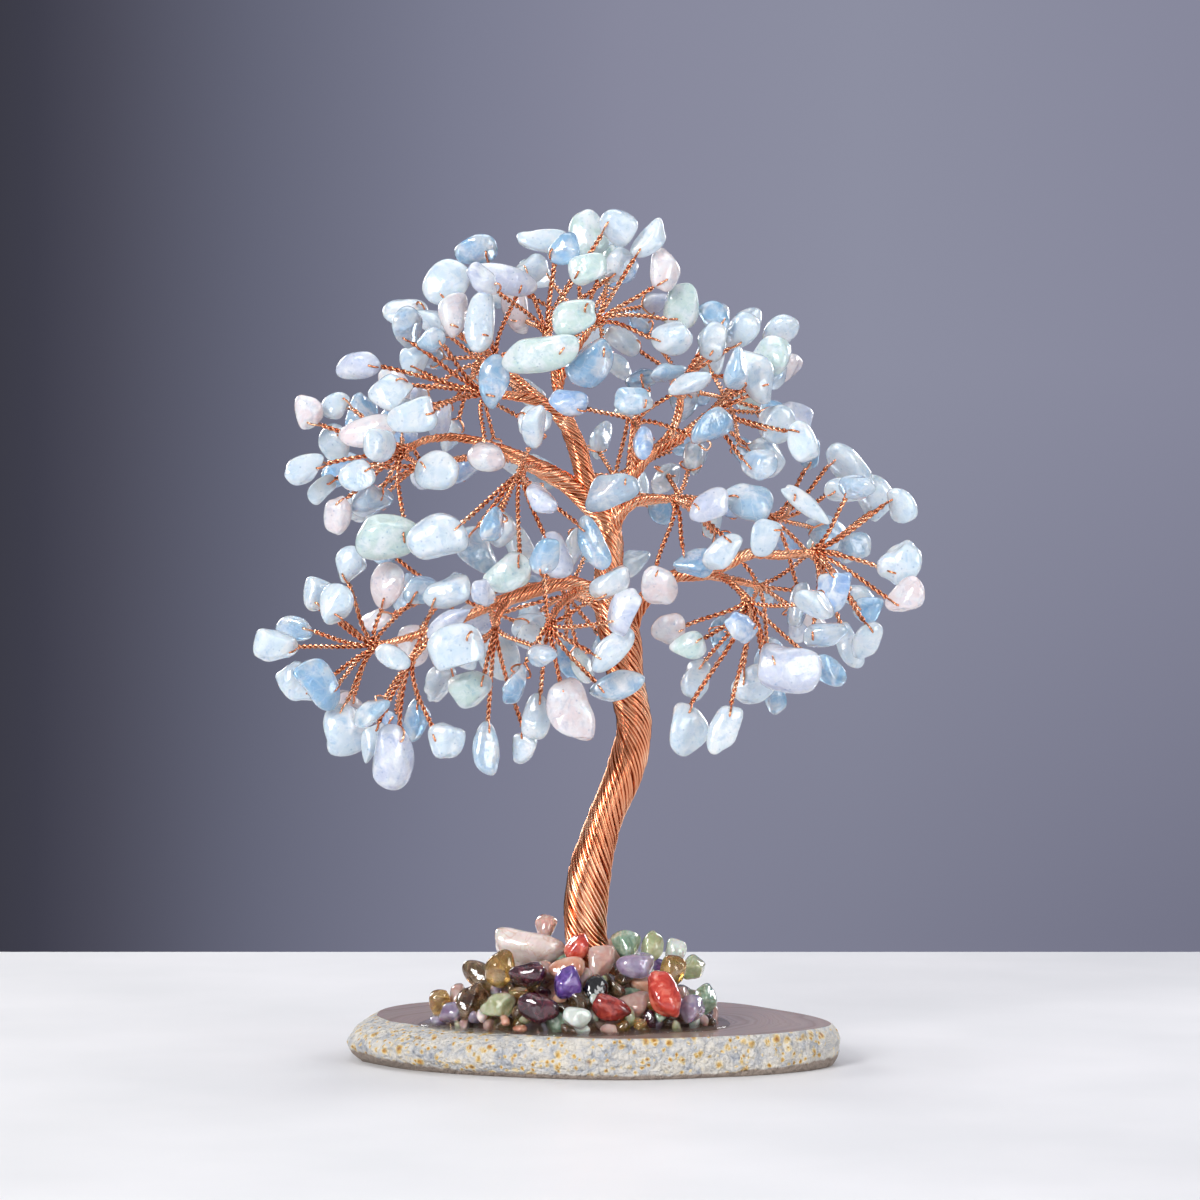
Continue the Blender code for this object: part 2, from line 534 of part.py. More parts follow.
def placed_chips(spray, others, rng):
    """The chips placed by hand: each keeps its place seen from the front, at the nearest clear depth."""
    knot, bough = knot_of(spray)
    chips = []
    for x, height, depth, length, width, lean in PLACED_CHIPS.get(spray, []):
        turn = math.radians(lean)
        along = Vector((math.cos(turn), rng.uniform(-0.25, 0.25), math.sin(turn))).normalized()
        side = Vector((rng.uniform(-0.5, 0.5), -1, rng.uniform(-0.5, 0.5))).cross(along)
        for step in range(DEPTH_TRIES):
            away = (step + 1) // 2 * (1 if step % 2 else -1)
            middle = on_slice(x, knot.y / MM + depth, height) + Vector((0, away * DEPTH_STEP, 0))
            chip = hung(middle, along, side, length * MM, width * MM, knot)
            bars = bars_of(chip, knot, spray)
            if leaves_room(chip, knot, bough) and is_clear(bars, others):
                others.extend(bars)
                chips.append(chip)
                break
    return chips


def filled_chips(spray, others, rng):
    """Further chips, each tried at places round the knot until it hangs clear of all the rest."""
    knot, bough = knot_of(spray)
    chips = []
    for _ in range(CHIP_COUNTS[spray]):
        for _ in range(TRIES):
            way = Vector([rng.gauss(0, 1) for _ in range(3)]).normalized() + bough * 0.7
            way.normalize()
            size = rng.uniform(0.8, 1.2)
            along = (way + Vector([rng.gauss(0, 0.35) for _ in range(3)])).normalized()
            side = Vector([rng.gauss(0, 1) for _ in range(3)]).cross(along)
            middle = knot + way * rng.uniform(*TWIG_REACH)
            width = CHIP_WIDTH * size * rng.uniform(0.9, 1.12)
            chip = hung(middle, along, side, CHIP_LENGTH * size, width, knot)
            bars = bars_of(chip, knot, spray)
            if leaves_room(chip, knot, bough) and is_clear(bars, others):
                others.extend(bars)
                chips.append(chip)
                break
    return chips


def hang_chips():
    """Every spray's chips, none of which touches another spray or a bough."""
    rng = random.Random(SEED)
    others = []
    for name in LIMBS:
        path = limb_path(name)
        others += [Bar(a, b, max(ra, rb), name) for (a, ra), (b, rb) in zip(path, path[1:])]
    others += [Bar(knot_of(s)[0], knot_of(s)[0], KNOT_RADIUS, s) for s in CHIP_COUNTS]
    chips = {spray: placed_chips(spray, others, rng) for spray in CHIP_COUNTS}
    for spray in CHIP_COUNTS:
        chips[spray] += filled_chips(spray, others, rng)
    return chips


def add_object(name, mesh, colour, collection):
    """A mesh as a named object in its collection."""
    mesh.materials.append(material(colour))
    obj = bpy.data.objects.new(name, mesh)
    collection.objects.link(obj)
    return obj


def hide(obj):
    """Marks a shape that only goes into a join or a cut."""
    obj.hide_render = True
    obj.display_type = "WIRE"
    return obj


def pebble_corners(size, rng):
    """Corners of a tumbled stone: an icosphere drawn out to its length, width and thickness, dented."""
    shape = bmesh.new()
    bmesh.ops.create_icosphere(shape, subdivisions=1, radius=0.5)
    corners = [Vector(c * s for c, s in zip(corner.co, size)) * rng.uniform(0.9, 1.0) for corner in shape.verts]
    shape.free()
    return corners


def hull_of(corners):
    """The convex hull round some corners, as a bmesh."""
    shape = bmesh.new()
    for corner in corners:
        shape.verts.new(corner)
    hull = bmesh.ops.convex_hull(shape, input=shape.verts)
    inside = {v for v in hull["geom_interior"] + hull["geom_unused"] if isinstance(v, bmesh.types.BMVert)}
    bmesh.ops.delete(shape, geom=list(inside), context="VERTS")
    bmesh.ops.recalc_face_normals(shape, faces=shape.faces)
    return shape


def as_mesh(shape, name):
    """A bmesh made a mesh."""
    mesh = bpy.data.meshes.new(name)
    shape.to_mesh(mesh)
    shape.free()
    return mesh


def pebble_mesh(name, size, rng):
    """A tumbled stone of the heap."""
    return as_mesh(hull_of(pebble_corners(size, rng)), name)


def turned(middle, along, side):
    """The matrix that lays a piece's X along it and its Y across it."""
    across = side.normalized()
    return Matrix.Translation(middle) @ Matrix((along, across, along.cross(across))).transposed().to_4x4()


def chip_on_twig(chip, knot, rng):
    """A chip with the twig that runs from it into the knot. A small triangle on the chip's surface, where
    the twig comes out, stands in for the three nearest corners, and is drawn out to the knot."""
    frame = turned(chip.middle, chip.along, chip.side)
    size = Vector((chip.length, chip.width, chip.width * CHIP_FLATNESS))
    hole, goal = frame.inverted() @ chip.hole, frame.inverted() @ knot
    run = (goal - hole).normalized()
    hole_ball = Vector(2 * h / s for h, s in zip(hole, size))
    run_ball = Vector(2 * r / s for r, s in zip(run, size))
    a, b, c = run_ball.dot(run_ball), hole_ball.dot(run_ball), hole_ball.dot(hole_ball) - 1
    out = hole + run * (math.sqrt(b * b - a * c) - b) / a
    normal = Vector(o / s**2 for o, s in zip(out, size)).normalized()
    corners = pebble_corners(size, rng)
    corners = sorted(corners, key=lambda corner: (corner - out).length)[3:]
    across = normal.orthogonal().normalized()
    around = [Matrix.Rotation(math.tau * i / 3, 3, normal) @ across for i in range(3)]
    root = [out + way * TWIG_RADIUS for way in around]
    shape = hull_of(corners + root)
    face = max(shape.faces, key=lambda f: f.calc_center_median().dot(normal) if len(f.verts) == 3 else 0)
    ring = list(face.verts)
    shape.faces.remove(face)
    ends = []
    for corner in ring:
        way = corner.co - out
        way -= run * way.dot(run)
        ends.append(shape.verts.new(goal + way.normalized() * TWIG_ROOT_RADIUS))
    for i in range(3):
        j = (i + 1) % 3
        shape.faces.new((ring[i], ring[j], ends[j], ends[i]))
    shape.faces.new(ends)
    bmesh.ops.recalc_face_normals(shape, faces=shape.faces)
    bmesh.ops.transform(shape, matrix=frame, verts=shape.verts)
    return shape


def tube(name, path, sides, colour, collection):
    """A limb: rings of corners round its middle line, each turned square to the line, and closed ends."""
    shape = bmesh.new()
    places = [place for place, _ in path]
    ways = [(b - a).normalized() for a, b in zip(places, places[1:])]
    ways = [ways[0], *((a + b).normalized() for a, b in zip(ways, ways[1:])), ways[-1]]
    across = ways[0].orthogonal().normalized()
    rings = []
    for (place, radius), way in zip(path, ways):
        across = (across - way * across.dot(way)).normalized()
        over = way.cross(across)
        turns = [math.tau * i / sides for i in range(sides)]
        rings.append([shape.verts.new(place + radius * (across * math.cos(t) + over * math.sin(t))) for t in turns])
    for low, high in zip(rings, rings[1:]):
        for i in range(sides):
            j = (i + 1) % sides
            shape.faces.new((low[i], low[j], high[j], high[i]))
    shape.faces.new(list(reversed(rings[0])))
    shape.faces.new(rings[-1])
    return add_object(name, as_mesh(shape, name), colour, collection)


def join(obj, shapes, operation="UNION"):
    """Gives an object one Boolean with a collection of shapes."""
    boolean = obj.modifiers.new("join", "BOOLEAN")
    boolean.operation = operation
    boolean.operand_type = "COLLECTION"
    boolean.collection = shapes
    boolean.solver = "EXACT"


def shapes_collection(name, parent):
    """A collection of the shapes that go into one join or cut."""
    made = bpy.data.collections.new(name)
    parent.children.link(made)
    return made


def build_slice(parts):
    """The agate slice: its outline lofted from the sawn underside over the rind to the polished face."""
    outline = smooth_path([*SLICE_OUTLINE, SLICE_OUTLINE[0]], 2)[:-1]
    count = len(outline)
    places = [Vector((x, y, 0)) * MM for x, y, _ in outline]
    middle = sum(places, Vector()) / count
    shape = bmesh.new()
    rings = []
    for height, inset in (
        (0.0, lambda i: SLICE_FOOT_INSET + 0.25 * outline[i][2] * MM),
        (SLICE_WIDEST_SHARE * SLICE_THICKNESS, lambda i: 0.0),
        (0.85 * SLICE_THICKNESS, lambda i: 0.45 * outline[i][2] * MM),
        (SLICE_THICKNESS, lambda i: outline[i][2] * MM),
    ):
        ring = []
        for i, place in enumerate(places):
            inward = (middle - place).normalized()
            ring.append(shape.verts.new(place + inward * inset(i) + Vector((0, 0, height))))
        rings.append(ring)
    for low, high in zip(rings, rings[1:]):
        for i in range(count):
            j = (i + 1) % count
            shape.faces.new((low[i], low[j], high[j], high[i]))
    shape.faces.new(list(reversed(rings[0])))
    shape.faces.new(rings[-1])
    mesh = bpy.data.meshes.new("agate_slice")
    shape.to_mesh(mesh)
    shape.free()
    add_object("agate_slice", mesh, "agate", parts)


def build_trunk(parts, helpers):
    """The trunk with all its boughs, which are one bundle of wires."""
    shapes = shapes_collection("boughs", helpers)
    for name in LIMBS:
        sides = TRUNK_SIDES if name == "trunk" else LIMB_SIDES
        if name == "trunk":
            trunk = tube("copper_trunk", limb_path(name), sides, "copper", parts)
        else:
            hide(tube("limb_" + name, limb_path(name), sides, "copper", shapes))
    join(trunk, shapes)


def build_spray(spray, chips, parts, helpers):
    """One spray: its knot, joined with each chip and the twisted twig that holds it."""
    rng = random.Random(spray)
    shapes = shapes_collection("spray_" + spray, helpers)
    knot, _ = knot_of(spray)
    core = bmesh.new()
    bmesh.ops.create_icosphere(core, subdivisions=1, radius=KNOT_RADIUS)
    body = add_object("spray_" + spray, as_mesh(core, "spray_" + spray), "aquamarine", parts)
    body.location = knot
    for i, chip in enumerate(chips):
        name = f"{spray}_{i:02d}"
        hide(add_object(name, as_mesh(chip_on_twig(chip, knot, rng), name), "aquamarine", shapes))
    join(body, shapes)


def on_heap(x_share, y_share, height_share):
    """A place in the heap, from shares of the resin's half-length, half-depth and height."""
    middle = Vector((x_share * RESIN_HALF_LENGTH, y_share * RESIN_HALF_DEPTH, height_share * RESIN_DOME))
    return RESIN_CENTRE + middle + Vector((0, 0, STANDING))


def stone_matrix(place, heading, pitch):
    """Where a stone of the heap lies and how it is turned."""
    turn = Matrix.Rotation(math.radians(heading), 4, "Z") @ Matrix.Rotation(-math.radians(pitch), 4, "Y")
    return Matrix.Translation(place) @ turn


def nearest_points(mine, theirs):
    """The two places, one from each list, that lie closest together."""
    return min(((a, b) for a in mine for b in theirs), key=lambda pair: (pair[0] - pair[1]).length)


def resin_top(place):
    """The height of the resin's surface under or over a place."""
    across = place - RESIN_CENTRE
    share = math.hypot(across.x / RESIN_HALF_LENGTH, across.y / RESIN_HALF_DEPTH)
    for (inner, high), (outer, low) in zip(RESIN_PROFILE, RESIN_PROFILE[1:]):
        if share <= outer:
            rise = high + (low - high) * (share - inner) / (outer - inner)
            return SLICE_THICKNESS + SEAT_GAP + RESIN_FILM + rise * RESIN_DOME
    return SLICE_THICKNESS


def kept_on_resin(place):
    """The place itself, or the nearest one to it on its way in where it lies too far out on the resin."""
    across = place - RESIN_CENTRE
    share = math.hypot(across.x / RESIN_HALF_LENGTH, across.y / RESIN_HALF_DEPTH)
    inward = min(1.0, HEAP_REACH / share) if share else 1.0
    return RESIN_CENTRE + Vector((across.x * inward, across.y * inward, across.z))


def let_down(bars, trunk):
    """Brings each stone that nothing holds up to the nearest thing by it, the lowest stones first."""
    for name in sorted(bars, key=lambda n: bars[n][0].z):
        place, half, radius = bars[name]
        mine = points_along(place - half, place + half)
        room, way = min(p.z - radius - resin_top(p) for p in mine), Vector((0, 0, -1))
        solids = [(points_along(p - h, p + h), r) for other, (p, h, r) in bars.items() if other != name]
        for theirs, girth in solids + [([post], girth) for post, girth in trunk]:
            a, b = nearest_points(mine, theirs)
            if (a - b).length - radius - girth < room:
                room, way = (a - b).length - radius - girth, (b - a).normalized()
        if room > SEAT_GAP:
            bars[name][0] = place + way * (room - SEAT_GAP)


def settled_stones():
    """The stones' places once each has been pushed clear of its neighbours, the trunk and the film."""
    bars = {}
    for name, (place, size, heading, pitch, _) in STONES.items():
        radius = size[1] * MM / 2 * STONE_GIRTH
        along = stone_matrix(Vector(), heading, pitch).to_3x3() @ Vector((1, 0, 0))
        bars[name] = [on_heap(*place), along * max(0.0, size[0] * MM / 2 - radius), radius]
    trunk = [post for post in limb_path("trunk") if post[0].z < STANDING + 2 * RESIN_DOME]
    for _ in range(SETTLING_ROUNDS):
        for name, (place, half, radius) in bars.items():
            push = Vector()
            mine = points_along(place - half, place + half)
            for other, (there, other_half, other_radius) in bars.items():
                if other == name:
                    continue
                a, b = nearest_points(mine, points_along(there - other_half, there + other_half))
                short = radius + other_radius + SEAT_GAP - (a - b).length
                if short > 0:
                    push += (a - b).normalized() * Vector(SETTLING_EASE) * short / 2
            for post, post_radius in trunk:
                a, _ = nearest_points(mine, [post])
                short = radius + post_radius + SEAT_GAP - (a - post).length
                if short > 0:
                    push += (a - post).normalized() * short
            bars[name][0] = kept_on_resin(place + push)
            lowest = min(p.z for p in mine) + push.z - radius - STANDING
            if lowest < 0:
                bars[name][0] -= Vector((0, 0, lowest))
    let_down(bars, trunk)
    return {name: bar[0] for name, bar in bars.items()}


def build_heap(parts, helpers):
    """The stones of the heap, and the resin with a seat for each of them and for the trunk."""
    cutters = shapes_collection("resin_cutters", helpers)
    for name, place in settled_stones().items():
        _, size, heading, pitch, mineral = STONES[name]
        matrix = stone_matrix(place, heading, pitch)
        stone = add_object(name, pebble_mesh(name, [s * MM for s in size], random.Random(name)), mineral, parts)
        stone.matrix_world = matrix
        grown = [s * MM + SEAT_GROWTH for s in size]
        seat = add_object(name + "_seat", pebble_mesh(name, grown, random.Random(name)), "resin", cutters)
        seat.matrix_world = matrix
        hide(seat)
    wide = [(place, radius + 1.4 * SEAT_GAP) for place, radius in limb_path("trunk")]
    foot, radius = wide[0]
    wide[0] = (foot - Vector((0, 0, SEAT_GAP)), radius)
    hide(tube("trunk_seat", wide, TRUNK_SIDES, "resin", cutters))
    join(build_resin(parts), cutters, "DIFFERENCE")


def build_resin(parts):
    """The resin before its seats are cut: a dome round the trunk that thins out to a film."""
    mesh = bpy.data.meshes.new("clear_resin")
    shape = bmesh.new()
    corners = [(share, RESIN_FILM + rise * RESIN_DOME) for share, rise in RESIN_PROFILE]
    corners.append((1.0, 0.0))
    rings = []
    for share, height in corners:
        count = 1 if share == 0 else RESIN_SIDES
        rings.append(
            [
                shape.verts.new(
                    (
                        share * RESIN_HALF_LENGTH * math.cos(math.tau * i / count),
                        share * RESIN_HALF_DEPTH * math.sin(math.tau * i / count),
                        height,
                    )
                )
                for i in range(count)
            ]
        )
    for inner, outer in zip(rings, rings[1:]):
        count = len(outer)
        for i in range(count):
            j = (i + 1) % count
            if len(inner) == 1:
                shape.faces.new((inner[0], outer[i], outer[j]))
            else:
                shape.faces.new((inner[i], outer[i], outer[j], inner[j]))
    shape.faces.new(list(reversed(rings[-1])))
    shape.to_mesh(mesh)
    shape.free()
    resin = add_object("clear_resin", mesh, "resin", parts)
    resin.location = RESIN_CENTRE + Vector((0, 0, SLICE_THICKNESS + SEAT_GAP))
    return resin


def main():
    parts, helpers = start_scene()
    build_slice(parts)
    build_trunk(parts, helpers)
    for spray, chips in hang_chips().items():
        build_spray(spray, chips, parts, helpers)
    build_heap(parts, helpers)


main()
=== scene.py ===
# %% [markdown]
# # A wire tree with aquamarine chips
#
# This lesson dresses the solid model of a small wire tree. On the real one, long copper wires are twisted
# into a trunk, parted into boughs and then into twigs. Each twig holds a drilled, tumbled chip of
# aquamarine. The foot stands in a heap of tumbled stones that clear resin holds on a slice of agate.
# The solids give the size and the place of every piece, and the cells below give each piece its strands,
# its worn roundness and its stone.

import json
import math
import random
from collections import namedtuple

import bmesh
import bpy
import numpy as np
from mathutils import Matrix, Vector, noise
from mathutils.geometry import intersect_line_line


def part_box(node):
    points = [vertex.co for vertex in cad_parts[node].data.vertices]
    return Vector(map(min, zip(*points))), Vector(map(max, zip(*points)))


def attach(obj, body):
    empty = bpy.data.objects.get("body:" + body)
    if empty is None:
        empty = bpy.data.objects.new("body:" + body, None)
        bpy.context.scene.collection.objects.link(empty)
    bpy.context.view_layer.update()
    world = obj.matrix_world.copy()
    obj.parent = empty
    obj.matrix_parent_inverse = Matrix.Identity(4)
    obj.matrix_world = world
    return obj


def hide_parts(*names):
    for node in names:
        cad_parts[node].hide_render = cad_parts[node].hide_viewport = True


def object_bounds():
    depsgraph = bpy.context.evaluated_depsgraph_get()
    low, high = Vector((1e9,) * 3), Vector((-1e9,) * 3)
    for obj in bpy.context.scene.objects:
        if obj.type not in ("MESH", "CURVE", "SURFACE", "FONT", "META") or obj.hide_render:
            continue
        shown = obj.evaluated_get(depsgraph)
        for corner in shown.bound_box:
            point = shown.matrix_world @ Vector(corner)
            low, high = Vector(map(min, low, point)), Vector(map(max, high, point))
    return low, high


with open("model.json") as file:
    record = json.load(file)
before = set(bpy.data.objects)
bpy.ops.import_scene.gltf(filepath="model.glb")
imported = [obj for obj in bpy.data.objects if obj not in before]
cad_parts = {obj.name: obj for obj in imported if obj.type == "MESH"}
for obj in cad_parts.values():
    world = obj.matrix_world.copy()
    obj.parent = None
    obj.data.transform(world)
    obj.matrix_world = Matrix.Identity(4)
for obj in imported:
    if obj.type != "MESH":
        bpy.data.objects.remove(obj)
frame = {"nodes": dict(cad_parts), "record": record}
solid_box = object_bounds()
MM = 0.001
print("solids:", len(frame["nodes"]), "box:", solid_box)

# %% [markdown]
# ## The camera
#
# The photograph was taken from the level of the tree's middle with a long lens, so the tree stands
# straight and its near and far chips look much the same size. The table's far edge shows behind it.

# %% Camera
EYE_DISTANCE = 700 * MM
EYE_HEIGHT = 92.3 * MM
LENS_MM = 105

camera = bpy.data.objects.new("camera", bpy.data.cameras.new("camera"))
bpy.context.scene.collection.objects.link(camera)
camera.location = (0, -EYE_DISTANCE, EYE_HEIGHT)
camera.rotation_euler = (math.radians(90), 0, 0)
camera.data.lens = LENS_MM
camera.data.clip_start = 0.01
bpy.context.scene.camera = camera
print("camera at", tuple(camera.location), "with", LENS_MM, "mm")

# %% [markdown]
# ## Colours and nodes
#
# Colours are given as sRGB hex values, but the shaders work in linear light, so one function turns
# them. Another adds a node with its settings, and short ones on top of it name what the materials use
# most: noise, cells, a value's range and a mix. That keeps each material short enough to read.


# %% Colour and node helpers
def linear(hex_colour):
    """An sRGB hex colour such as "#c8673b" as linear red, green, blue and alpha."""
    parts = [int(hex_colour[i : i + 2], 16) / 255 for i in (1, 3, 5)]
    return (*(p / 12.92 if p <= 0.04045 else ((p + 0.055) / 1.055) ** 2.4 for p in parts), 1.0)


def set_up(material, node, numbered=(), **settings):
    """Gives a node its settings: properties or, with underscores for spaces, inputs. An input takes a number,
    a hex colour, a socket, or a node whose first output feeds it. Inputs that share a name are numbered."""
    for name, value in [*settings.items(), *dict(numbered).items()]:
        if isinstance(name, str) and hasattr(node, name):
            setattr(node, name, value)
            continue
        target = node.inputs[name.replace("_", " ") if isinstance(name, str) else name]
        if isinstance(value, bpy.types.Node):
            value = value.outputs[0]
        if isinstance(value, bpy.types.NodeSocket):
            material.node_tree.links.new(value, target)
        else:
            target.default_value = linear(value) if isinstance(value, str) else value


def add(material, kind, numbered=(), **settings):
    """Adds a shader node with these settings."""
    node = material.node_tree.nodes.new("ShaderNode" + kind)
    set_up(material, node, numbered, **settings)
    return node


def start_material(name, **settings):
    """A material, its Principled shader with these plain settings, and the places on the object."""
    material = bpy.data.materials.new(name)
    material.use_nodes = True
    shader = material.node_tree.nodes["Principled BSDF"]
    set_up(material, shader, **settings)
    return material, shader, add(material, "TexCoord").outputs["Object"]


def per_metre(feature_mm):
    """The scale of a noise or cell pattern whose features are that many millimetres across."""
    return 1 / (feature_mm * MM)


def noise_of(material, place, feature_mm, **settings):
    """Soft noise with features of that size."""
    return add(material, "TexNoise", Vector=place, Scale=per_metre(feature_mm), **settings)


def cells_of(material, place, feature_mm, **settings):
    """Cells of that size. They give the distance from each cell's middle, or from its edge if asked."""
    return add(material, "TexVoronoi", Vector=place, Scale=per_metre(feature_mm), **settings)


def pushed(material, place, wander, reach_mm):
    """The place, moved by a noise's colour up to that far."""
    pull = {0: wander.outputs["Color"], 1: (reach_mm * MM,) * 3, 2: place}
    return add(material, "VectorMath", pull, operation="MULTIPLY_ADD")


def ranged(material, source, start, end, top=1.0, bottom=0.0):
    """A value that goes from the bottom to the top as its source goes from start to end."""
    return add(material, "MapRange", Value=source, From_Min=start, From_Max=end, To_Min=bottom, To_Max=top)


def worked_out(material, operation, *values):
    """A sum, product or the like of values."""
    return add(material, "Math", dict(enumerate(values)), operation=operation)


def mixed(material, share, one, two, blend="MIX"):
    """One colour with a share of another."""
    return add(material, "MixRGB", blend_type=blend, Fac=share, Color1=one, Color2=two)


def colour_steps(material, source, *steps):
    """A colour ramp fed by a source. Each step is a place from 0 to 1 and a hex colour."""
    ramp = add(material, "ValToRGB", Fac=source)
    band = ramp.color_ramp
    while len(band.elements) < len(steps):
        band.elements.new(0.5)
    for element, (place, colour) in zip(band.elements, steps):
        element.position = place
        element.color = linear(colour)
    return ramp


print("linear mid grey:", [round(c, 3) for c in linear("#808080")])

# %% [markdown]
# ## Bare copper wire
#
# The wire is annealed copper, drawn through a die and left bare under a thin lacquer. Drawing leaves it
# smooth, so it shines, but the drawn skin is not a mirror. Copper's orange comes from the metal itself:
# the base colour is the colour of its reflections. Here and there the metal has warmed to a redder tone.


# %% Copper
def drawn_copper():
    """Annealed copper wire, drawn smooth and lacquered: warm orange reflections, slightly softened."""
    material, shader, place = start_material("drawn_copper_wire", Metallic=1.0)
    patches = noise_of(material, place, 6.0, Detail=2.0)
    warmth = colour_steps(material, patches, (0.3, "#cd825d"), (0.52, "#e9a27c"), (0.72, "#fccaa8"))
    worn = noise_of(material, place, 0.8, Detail=1.0)
    set_up(material, shader, Base_Color=warmth, Roughness=ranged(material, worn, 0.0, 1.0, 0.22, 0.12))
    return material


copper = drawn_copper()
print("made", copper.name)

# %% [markdown]
# ## Meshes from swept circles
#
# Every wire is a circle swept along a path. Curves with a bevel would do, but hundreds of strands are
# quicker and lighter as meshes that are worked out with numpy and joined as they are made.


# %% Mesh helpers
def unit(vectors):
    """Each row scaled to length one."""
    return vectors / np.linalg.norm(vectors, axis=-1, keepdims=True)


def sweep(points, outward, radius, sides=5):
    """Corners and faces of a wire along the points. outward is a direction across the wire at each."""
    along = unit(np.gradient(points, axis=0))
    across = unit(outward - along * np.sum(outward * along, axis=1, keepdims=True))
    over = np.cross(along, across)
    turns = np.arange(sides) * math.tau / sides
    ring = np.cos(turns)[:, None] * across[:, None, :] + np.sin(turns)[:, None] * over[:, None, :]
    corners = points[:, None, :] + np.reshape(radius, (-1, 1, 1)) * ring
    count = len(points)
    here = np.arange(count - 1)[:, None] * sides + np.arange(sides)[None, :]
    beside = np.arange(count - 1)[:, None] * sides + (np.arange(sides)[None, :] + 1) % sides
    faces = np.stack([here, beside, beside + sides, here + sides], axis=-1).reshape(-1, 4)
    ends = [tuple(range(sides))[::-1], tuple((count - 1) * sides + i for i in range(sides))]
    return corners.reshape(-1, 3), [*map(tuple, faces.tolist()), *ends]


def carried(points, start_across):
    """Two directions across a path at each point, carried along it without twisting."""
    along = unit(np.gradient(points, axis=0))
    across = start_across - along[0] * np.dot(start_across, along[0])
    rows = []
    for way in along:
        across = across - way * np.dot(across, way)
        across = across / np.linalg.norm(across)
        rows.append(across)
    first = np.array(rows)
    return first, np.cross(along, first)


def piece(name, shapes, materials, replaces=(), smooth=True):
    """Joins (corners, faces) shapes into one piece of the tree, which rides on the only body."""
    corners, faces, start = [], [], 0
    for shape_corners, shape_faces in shapes:
        corners.append(np.asarray(shape_corners))
        faces += [tuple(start + i for i in face) for face in shape_faces]
        start += len(shape_corners)
    mesh = bpy.data.meshes.new(name)
    mesh.from_pydata(np.concatenate(corners).tolist(), [], faces)
    for material in materials:
        mesh.materials.append(material)
    if smooth:
        mesh.shade_smooth()
    obj = bpy.data.objects.new(name, mesh)
    bpy.context.scene.collection.objects.link(obj)
    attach(obj, "root")
    if replaces:
        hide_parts(*replaces)
    return obj


def between(p, q, r, s, t):
    """The Catmull-Rom value at a share of the way from q to r."""
    return 0.5 * (2 * q + (r - p) * t + (2 * p - 5 * q + 4 * r - s) * t**2 + (3 * q - p - 3 * r + s) * t**3)


def smoothed(points, steps):
    """Catmull-Rom points through the given ones, each a tuple of numbers."""
    ends = [points[0], *points, points[-1]]
    path = []
    for p, q, r, s in zip(ends, ends[1:], ends[2:], ends[3:]):
        for i in range(steps):
            path.append(tuple(between(*four, i / steps) for four in zip(p, q, r, s)))
    return [*path, points[-1]]


def evenly(points, step):
    """A path of rows resampled so that its places, the first three columns, are a step apart."""
    rows = np.array(points)
    lengths = np.linalg.norm(np.diff(rows[:, :3], axis=0), axis=1)
    run = np.concatenate([[0], np.cumsum(lengths)])
    stops = np.linspace(0, run[-1], max(3, int(round(run[-1] / step)) + 1))
    return np.stack([np.interp(stops, run, column) for column in rows.T], axis=1)


print("helpers ready")

# %% [markdown]
# ## The trunk and the boughs
#
# Some hundred wires leave the foot together. They are twisted as one rope, which parts twice on the way
# up, and each part is twisted again. The routes below are the ones that the solids follow, in millimetres
# across, back and above the slice, with the radius of the bundle. Only the outer layer of wires shows, so
# each bundle gets just that layer, laid round a dark core.

# %% Routes of the limbs
STANDING = 9.2 * MM  # the foot's height: the slice, the resin film and two narrow gaps
WIRE = 0.5 * MM
KNOT_RADIUS = 1.8 * MM
SEAT_GAP = 0.3 * MM
LIMB_STEP = 8.0 * MM

